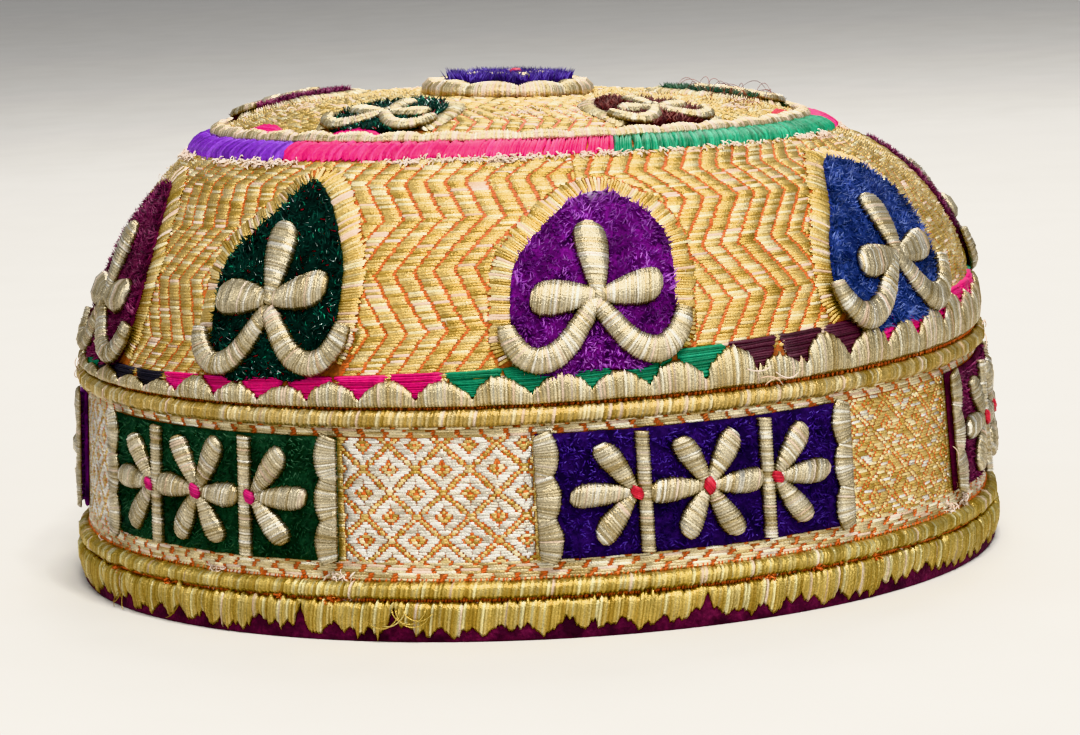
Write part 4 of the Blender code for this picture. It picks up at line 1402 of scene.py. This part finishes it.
circle = [(topWork["velvet"] * math.cos(a), topWork["velvet"] * math.sin(a)) for a in roundTrip(72)]
medallionVelvet = {"rings": 18, "tuft": 1.3, "height": 3.0, "pile": 0.5, "lift": 0.6, "bottom": 0.3}
mesh = puffed("medallionVelvet", onTop, np.array(circle), (0.0, 0.0), medallionVelvet)
addPiece("medallionVelvet", mesh, [velvets["violet"]], "velvet_violet", "medallion")
shaggy = dict(pile, length=2.7, width=0.55, perSquare=7.0, clump=3.0, lean=0.55)
tufts = [pileSpikes(onTop, 0.86 * np.array(circle), 2.7, velvetTips["violet"], shaggy)]
sew("medallion_pile", tufts, [cutPile], "velvet_violet")

flowerThread = dict(panelThread, rise=1.1, lift=3.5, shade="paleGold", pitch=0.44)
parts = []
for k in range(4):
    turn = math.radians(90.0 * k + 8.0)
    parts.append(petal(onTop, (0.8 * math.cos(turn), 0.8 * math.sin(turn)), turn, 8.0, 3.6, flowerThread))
parts.append(knot(onTop, (0.0, 0.0), 1.4, 4.2, "red", 1))
sew("medallionFlower", parts, [giltThread, silkFloss], "gold_thread", "medallion_flower")
print("top worked")

# Wear: loose fibres and threads.


fuzzDyes = {"purple": "#5A1E86", "blue": "#3346A6", "maroon": "#6E2647", "green": "#2A6640",
            "violet": "#3A2088", "brown": "#5A2C2E", "dark": "#12382E"}


def velvetFuzz():
    # Pile that stands over each patch's edge.
    parts = []
    for heart in allHearts:
        outline = smoothOutline(heart["outline"], 44 if heart["top"] else 64)
        outline = outline[outline[:, 1] > heart["run"] + 3.0]
        count = len(outline)
        tangent = wayAlong(outline)
        heading = np.arctan2(-tangent[:, 0], tangent[:, 1]) + 0.5 * chance.standard_normal(count)
        colour = np.array([toLinear(fuzzDyes[heart["velvet"]])] * count)
        colour = colour * (1.0 + 0.25 * chance.standard_normal((count, 1)))
        spots = outline - 0.5 * np.stack([np.cos(heading), np.sin(heading)], 1)
        parts.append(fibres(
            math.radians(heart["angle"]) + spots[:, 0] / radiusAt(spots[:, 1]), spots[:, 1], heading,
            0.9 + 0.4 * chance.random(count), np.full(count, 0.07), np.full(count, 1.0),
            0.5 * chance.random(count), 1.2 * chance.standard_normal(count), np.clip(colour, 0, 1),
            np.zeros(count), stations=4,
        ))
    return parts


def looseFibres(count=240):
    # Cream fluff caught anywhere on the band and the crown.
    angle = chance.random(count) * fullTurn
    run = 12.0 + 80.0 * chance.random(count)
    return [fibres(
        angle, run, chance.random(count) * 6.28, 0.8 + 1.6 * chance.random(count), np.full(count, 0.045),
        np.full(count, 0.25), 0.5 + 0.6 * chance.random(count), 2.0 * chance.standard_normal(count),
        pickShades("wornCream", count), np.zeros(count),
    )]


def frayed(spots, count, size, length, radius, arch, shade):
    # Tufts of broken threads round a few spots: each is (angle in degrees, run).
    spots = np.array(spots)
    chosen = spots[chance.integers(0, len(spots), count)]
    run = chosen[:, 1] + size[1] * chance.standard_normal(count)
    angle = np.radians(chosen[:, 0]) + size[0] * chance.standard_normal(count) / radiusAt(run)
    return fibres(
        angle, run, 6.28 * chance.random(count), length * (0.5 + chance.random(count)),
        radius * (0.7 + 0.6 * chance.random(count)), np.full(count, 0.4), arch * chance.random(count),
        1.8 * chance.standard_normal(count), pickShades(shade, count), np.zeros(count), stations=4,
    )


def strayThreads(angle, run, heading, length, radius, lift, arch, curl, shade, shine=0.0, slotIndex=0):
    # A few threads that have come loose, each with its own place and bend.
    count = len(angle)
    full = [np.broadcast_to(np.asarray(x, float), (count,)) for x in (run, length, radius, lift, arch, curl)]
    return fibres(
        np.radians(angle), full[0], np.radians(np.broadcast_to(heading, (count,))), *full[1:],
        pickShades(shade, count), np.full(count, shine), stations=10, slotIndex=slotIndex,
    )


def wearParts():
    # Where the photographed side is rubbed: along the ring, the seam's ends, the rim and the right end.
    ringSpots = [(a, 91.2) for a in chance.random(46) * 360.0]
    ringSpots += [(a, 91.2) for a in (-52, -47, -20, -12, -6, -3, 2, 6, 11, 16, 22, 27, 33, 40)]
    parts = [frayed(ringSpots, 1200, (2.6, 0.4), 1.15, 0.17, 0.6, "cotton")]
    rimSpots = ((-75, 6), (-70, 9), (-66, 4), (-42, 10), (-24.5, 11), (-23.5, 8), (27, 5), (65, 18), (66, 12),
                (84, 40), (-83, 41), (-78, 8), (48, 9), (-9, 5), (61, 11.5), (69, 24), (67.5, 30))
    parts.append(frayed(rimSpots, 700, (1.1, 0.8), 1.5, 0.14, 0.9, "cotton"))
    orangeSpots = ((-63, 7.4), (-50, 7.6), (-32, 7.6), (-25, 7.4), (27, 7.6), (34, 7.6), (43, 7.6))
    parts.append(frayed(orangeSpots, 240, (0.7, 0.25), 0.9, 0.14, 2.2, "orange"))
    parts.append(frayed([(a, 106.0 + 10.0 * b) for a, b in chance.random((24, 2)) * (360.0, 1.0)], 480,
                        (3.0, 2.0), 1.3, 0.12, 0.6, "cotton"))
    count = 26
    parts.append(strayThreads(
        66.0 + 9.0 * chance.random(count), 106.0 + 11.0 * chance.random(count), 360.0 * chance.random(count),
        4.0 + 5.0 * chance.random(count), 0.055, 0.5, 1.0 + 4.0 * chance.random(count),
        1.8 * chance.standard_normal(count), "hair",
    ))
    parts.append(strayThreads(
        np.array([-17.4, -16.9, -16.5, -16.1, -15.7]), 6.2, np.array([-70.0, -80.0, -95.0, -62.0, -105.0]),
        np.array([9.5, 8.5, 8.0, 7.0, 6.0]), 0.17, 2.4, 0.5, np.array([2.9, 2.6, -2.4, 2.2, -1.6]),
        "yellowGold", gilding, 1,
    ))
    parts.append(strayThreads(
        np.array([-61.0, -61.8, -60.4, -48.0]), 3.4, np.array([-110.0, -135.0, -95.0, -120.0]), 4.6, 0.09,
        2.2, 0.4, np.array([-1.4, 1.2, 0.8, -1.0]), "yellowGold", gilding, 1,
    ))
    parts.append(strayThreads(
        np.array([25.8, 27.4, 29.6, 31.0, -83.0, -81.0, -79.0, 80.0, 82.0, 62.0]),
        np.array([45.5, 44.0, 44.5, 43.4, 42.0, 41.0, 42.6, 43.0, 41.0, 20.0]),
        np.array([-20.0, 10.0, -35.0, 160.0, 30.0, 200.0, 60.0, 15.0, 190.0, 100.0]), 5.0, 0.11, 2.2, 0.6,
        np.array([0.8, -1.0, 1.2, 0.9, 1.4, -1.1, 0.7, -1.2, 1.0, 0.9]), "wornCream",
    ))
    return parts


sew("wornThreads", wearParts(), [silkFloss, giltThread], "silk_floss")
sew("velvetFuzz", velvetFuzz(), [silkFloss], "silk_floss")
sew("looseFibres", looseFibres(), [silkFloss], "silk_floss")
print("wear added")

# Floor, light and camera.

studio = {"floorRadius": 6.0, "floorLow": "#C9C5BE", "floorHigh": "#D4D0C9", "worldStrength": 0.51}
lights = {
    # place, size, watts, colour
    "key": ((0.05, -0.75, 1.15), 0.7, 15.5, (1.0, 0.98, 0.95)),
    "fill": ((0.9, -0.9, 0.6), 0.9, 7.0, (0.95, 0.97, 1.0)),
    "spark": ((0.25, -0.55, 1.0), 0.12, 5.0, (1.0, 1.0, 1.0)),
    "left": ((-1.05, -0.4, 0.55), 0.6, 3.0, (1.0, 0.99, 0.97)),
    "back": ((0.1, 0.65, 0.9), 0.5, 8.0, (1.0, 0.99, 0.97)),
}
floorMesh = bpy.data.meshes.new("floor")
bm = bmesh.new()
bmesh.ops.create_circle(bm, cap_ends=True, segments=96, radius=studio["floorRadius"])
bm.to_mesh(floorMesh)
bm.free()
floor = bpy.data.objects.new("floor", floorMesh)
bpy.context.scene.collection.objects.link(floor)
floorMaterial, tree, shader, place = startMaterial("painted board, matt")
speck = grainOf(tree, place, 40.0, 3.0)
tint = mixed(tree, speck, opaque(studio["floorLow"]), opaque(studio["floorHigh"]))
feed(tree, shader, {"Base Color": tint, "Roughness": 0.9})
floorMesh.materials.append(floorMaterial)
floor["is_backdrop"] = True

world = bpy.data.worlds.new("studio")
world.use_nodes = True
world.node_tree.nodes["Background"].inputs[0].default_value = (0.78, 0.80, 0.84, 1.0)
world.node_tree.nodes["Background"].inputs[1].default_value = studio["worldStrength"]
bpy.context.scene.world = world


def addLight(name, spot, size, watts, colour):
    data = bpy.data.lights.new(name, "AREA")
    data.shape = "DISK"
    data.size = size
    data.energy = watts
    data.color = colour
    light = bpy.data.objects.new(name, data)
    light.location = spot
    aim = Vector((0.0, 0.0, 0.05)) - Vector(spot)
    light.rotation_euler = aim.to_track_quat("-Z", "Y").to_euler()
    bpy.context.scene.collection.objects.link(light)


for name, settings in lights.items():
    addLight(name, *settings)

view = {"distance": 0.9, "elevation": 10.92, "roll": 2.73, "aimUp": 2.287, "lens": 147.85}
cameraData = bpy.data.cameras.new("camera")
cameraData.lens = view["lens"]
cameraData.clip_start = 0.01
camera = bpy.data.objects.new("camera", cameraData)
bpy.context.scene.collection.objects.link(camera)
rise = math.radians(view["elevation"])
turned = (
    Matrix.Rotation(math.radians(90.0) - rise, 4, "X")
    @ Matrix.Rotation(-math.radians(view["roll"]), 4, "Z")
    @ Matrix.Rotation(math.radians(view["aimUp"]), 4, "X")
)
spot = Vector((0.0, -math.cos(rise), math.sin(rise))) * view["distance"]
camera.matrix_world = Matrix.Translation(spot) @ turned
bpy.context.scene.camera = camera
bpy.context.scene.view_settings.view_transform = "Khronos PBR Neutral"
print("studio set")

# Sizes of the meshes, in triangles.

bpy.context.view_layer.update()
total = 0
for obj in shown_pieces():
    if obj.type == "MESH":
        obj.data.calc_loop_triangles()
        total += len(obj.data.loop_triangles)
        if len(obj.data.loop_triangles) > 30000:
            print(obj.name, len(obj.data.loop_triangles), "triangles")
print(total, "triangles in all")
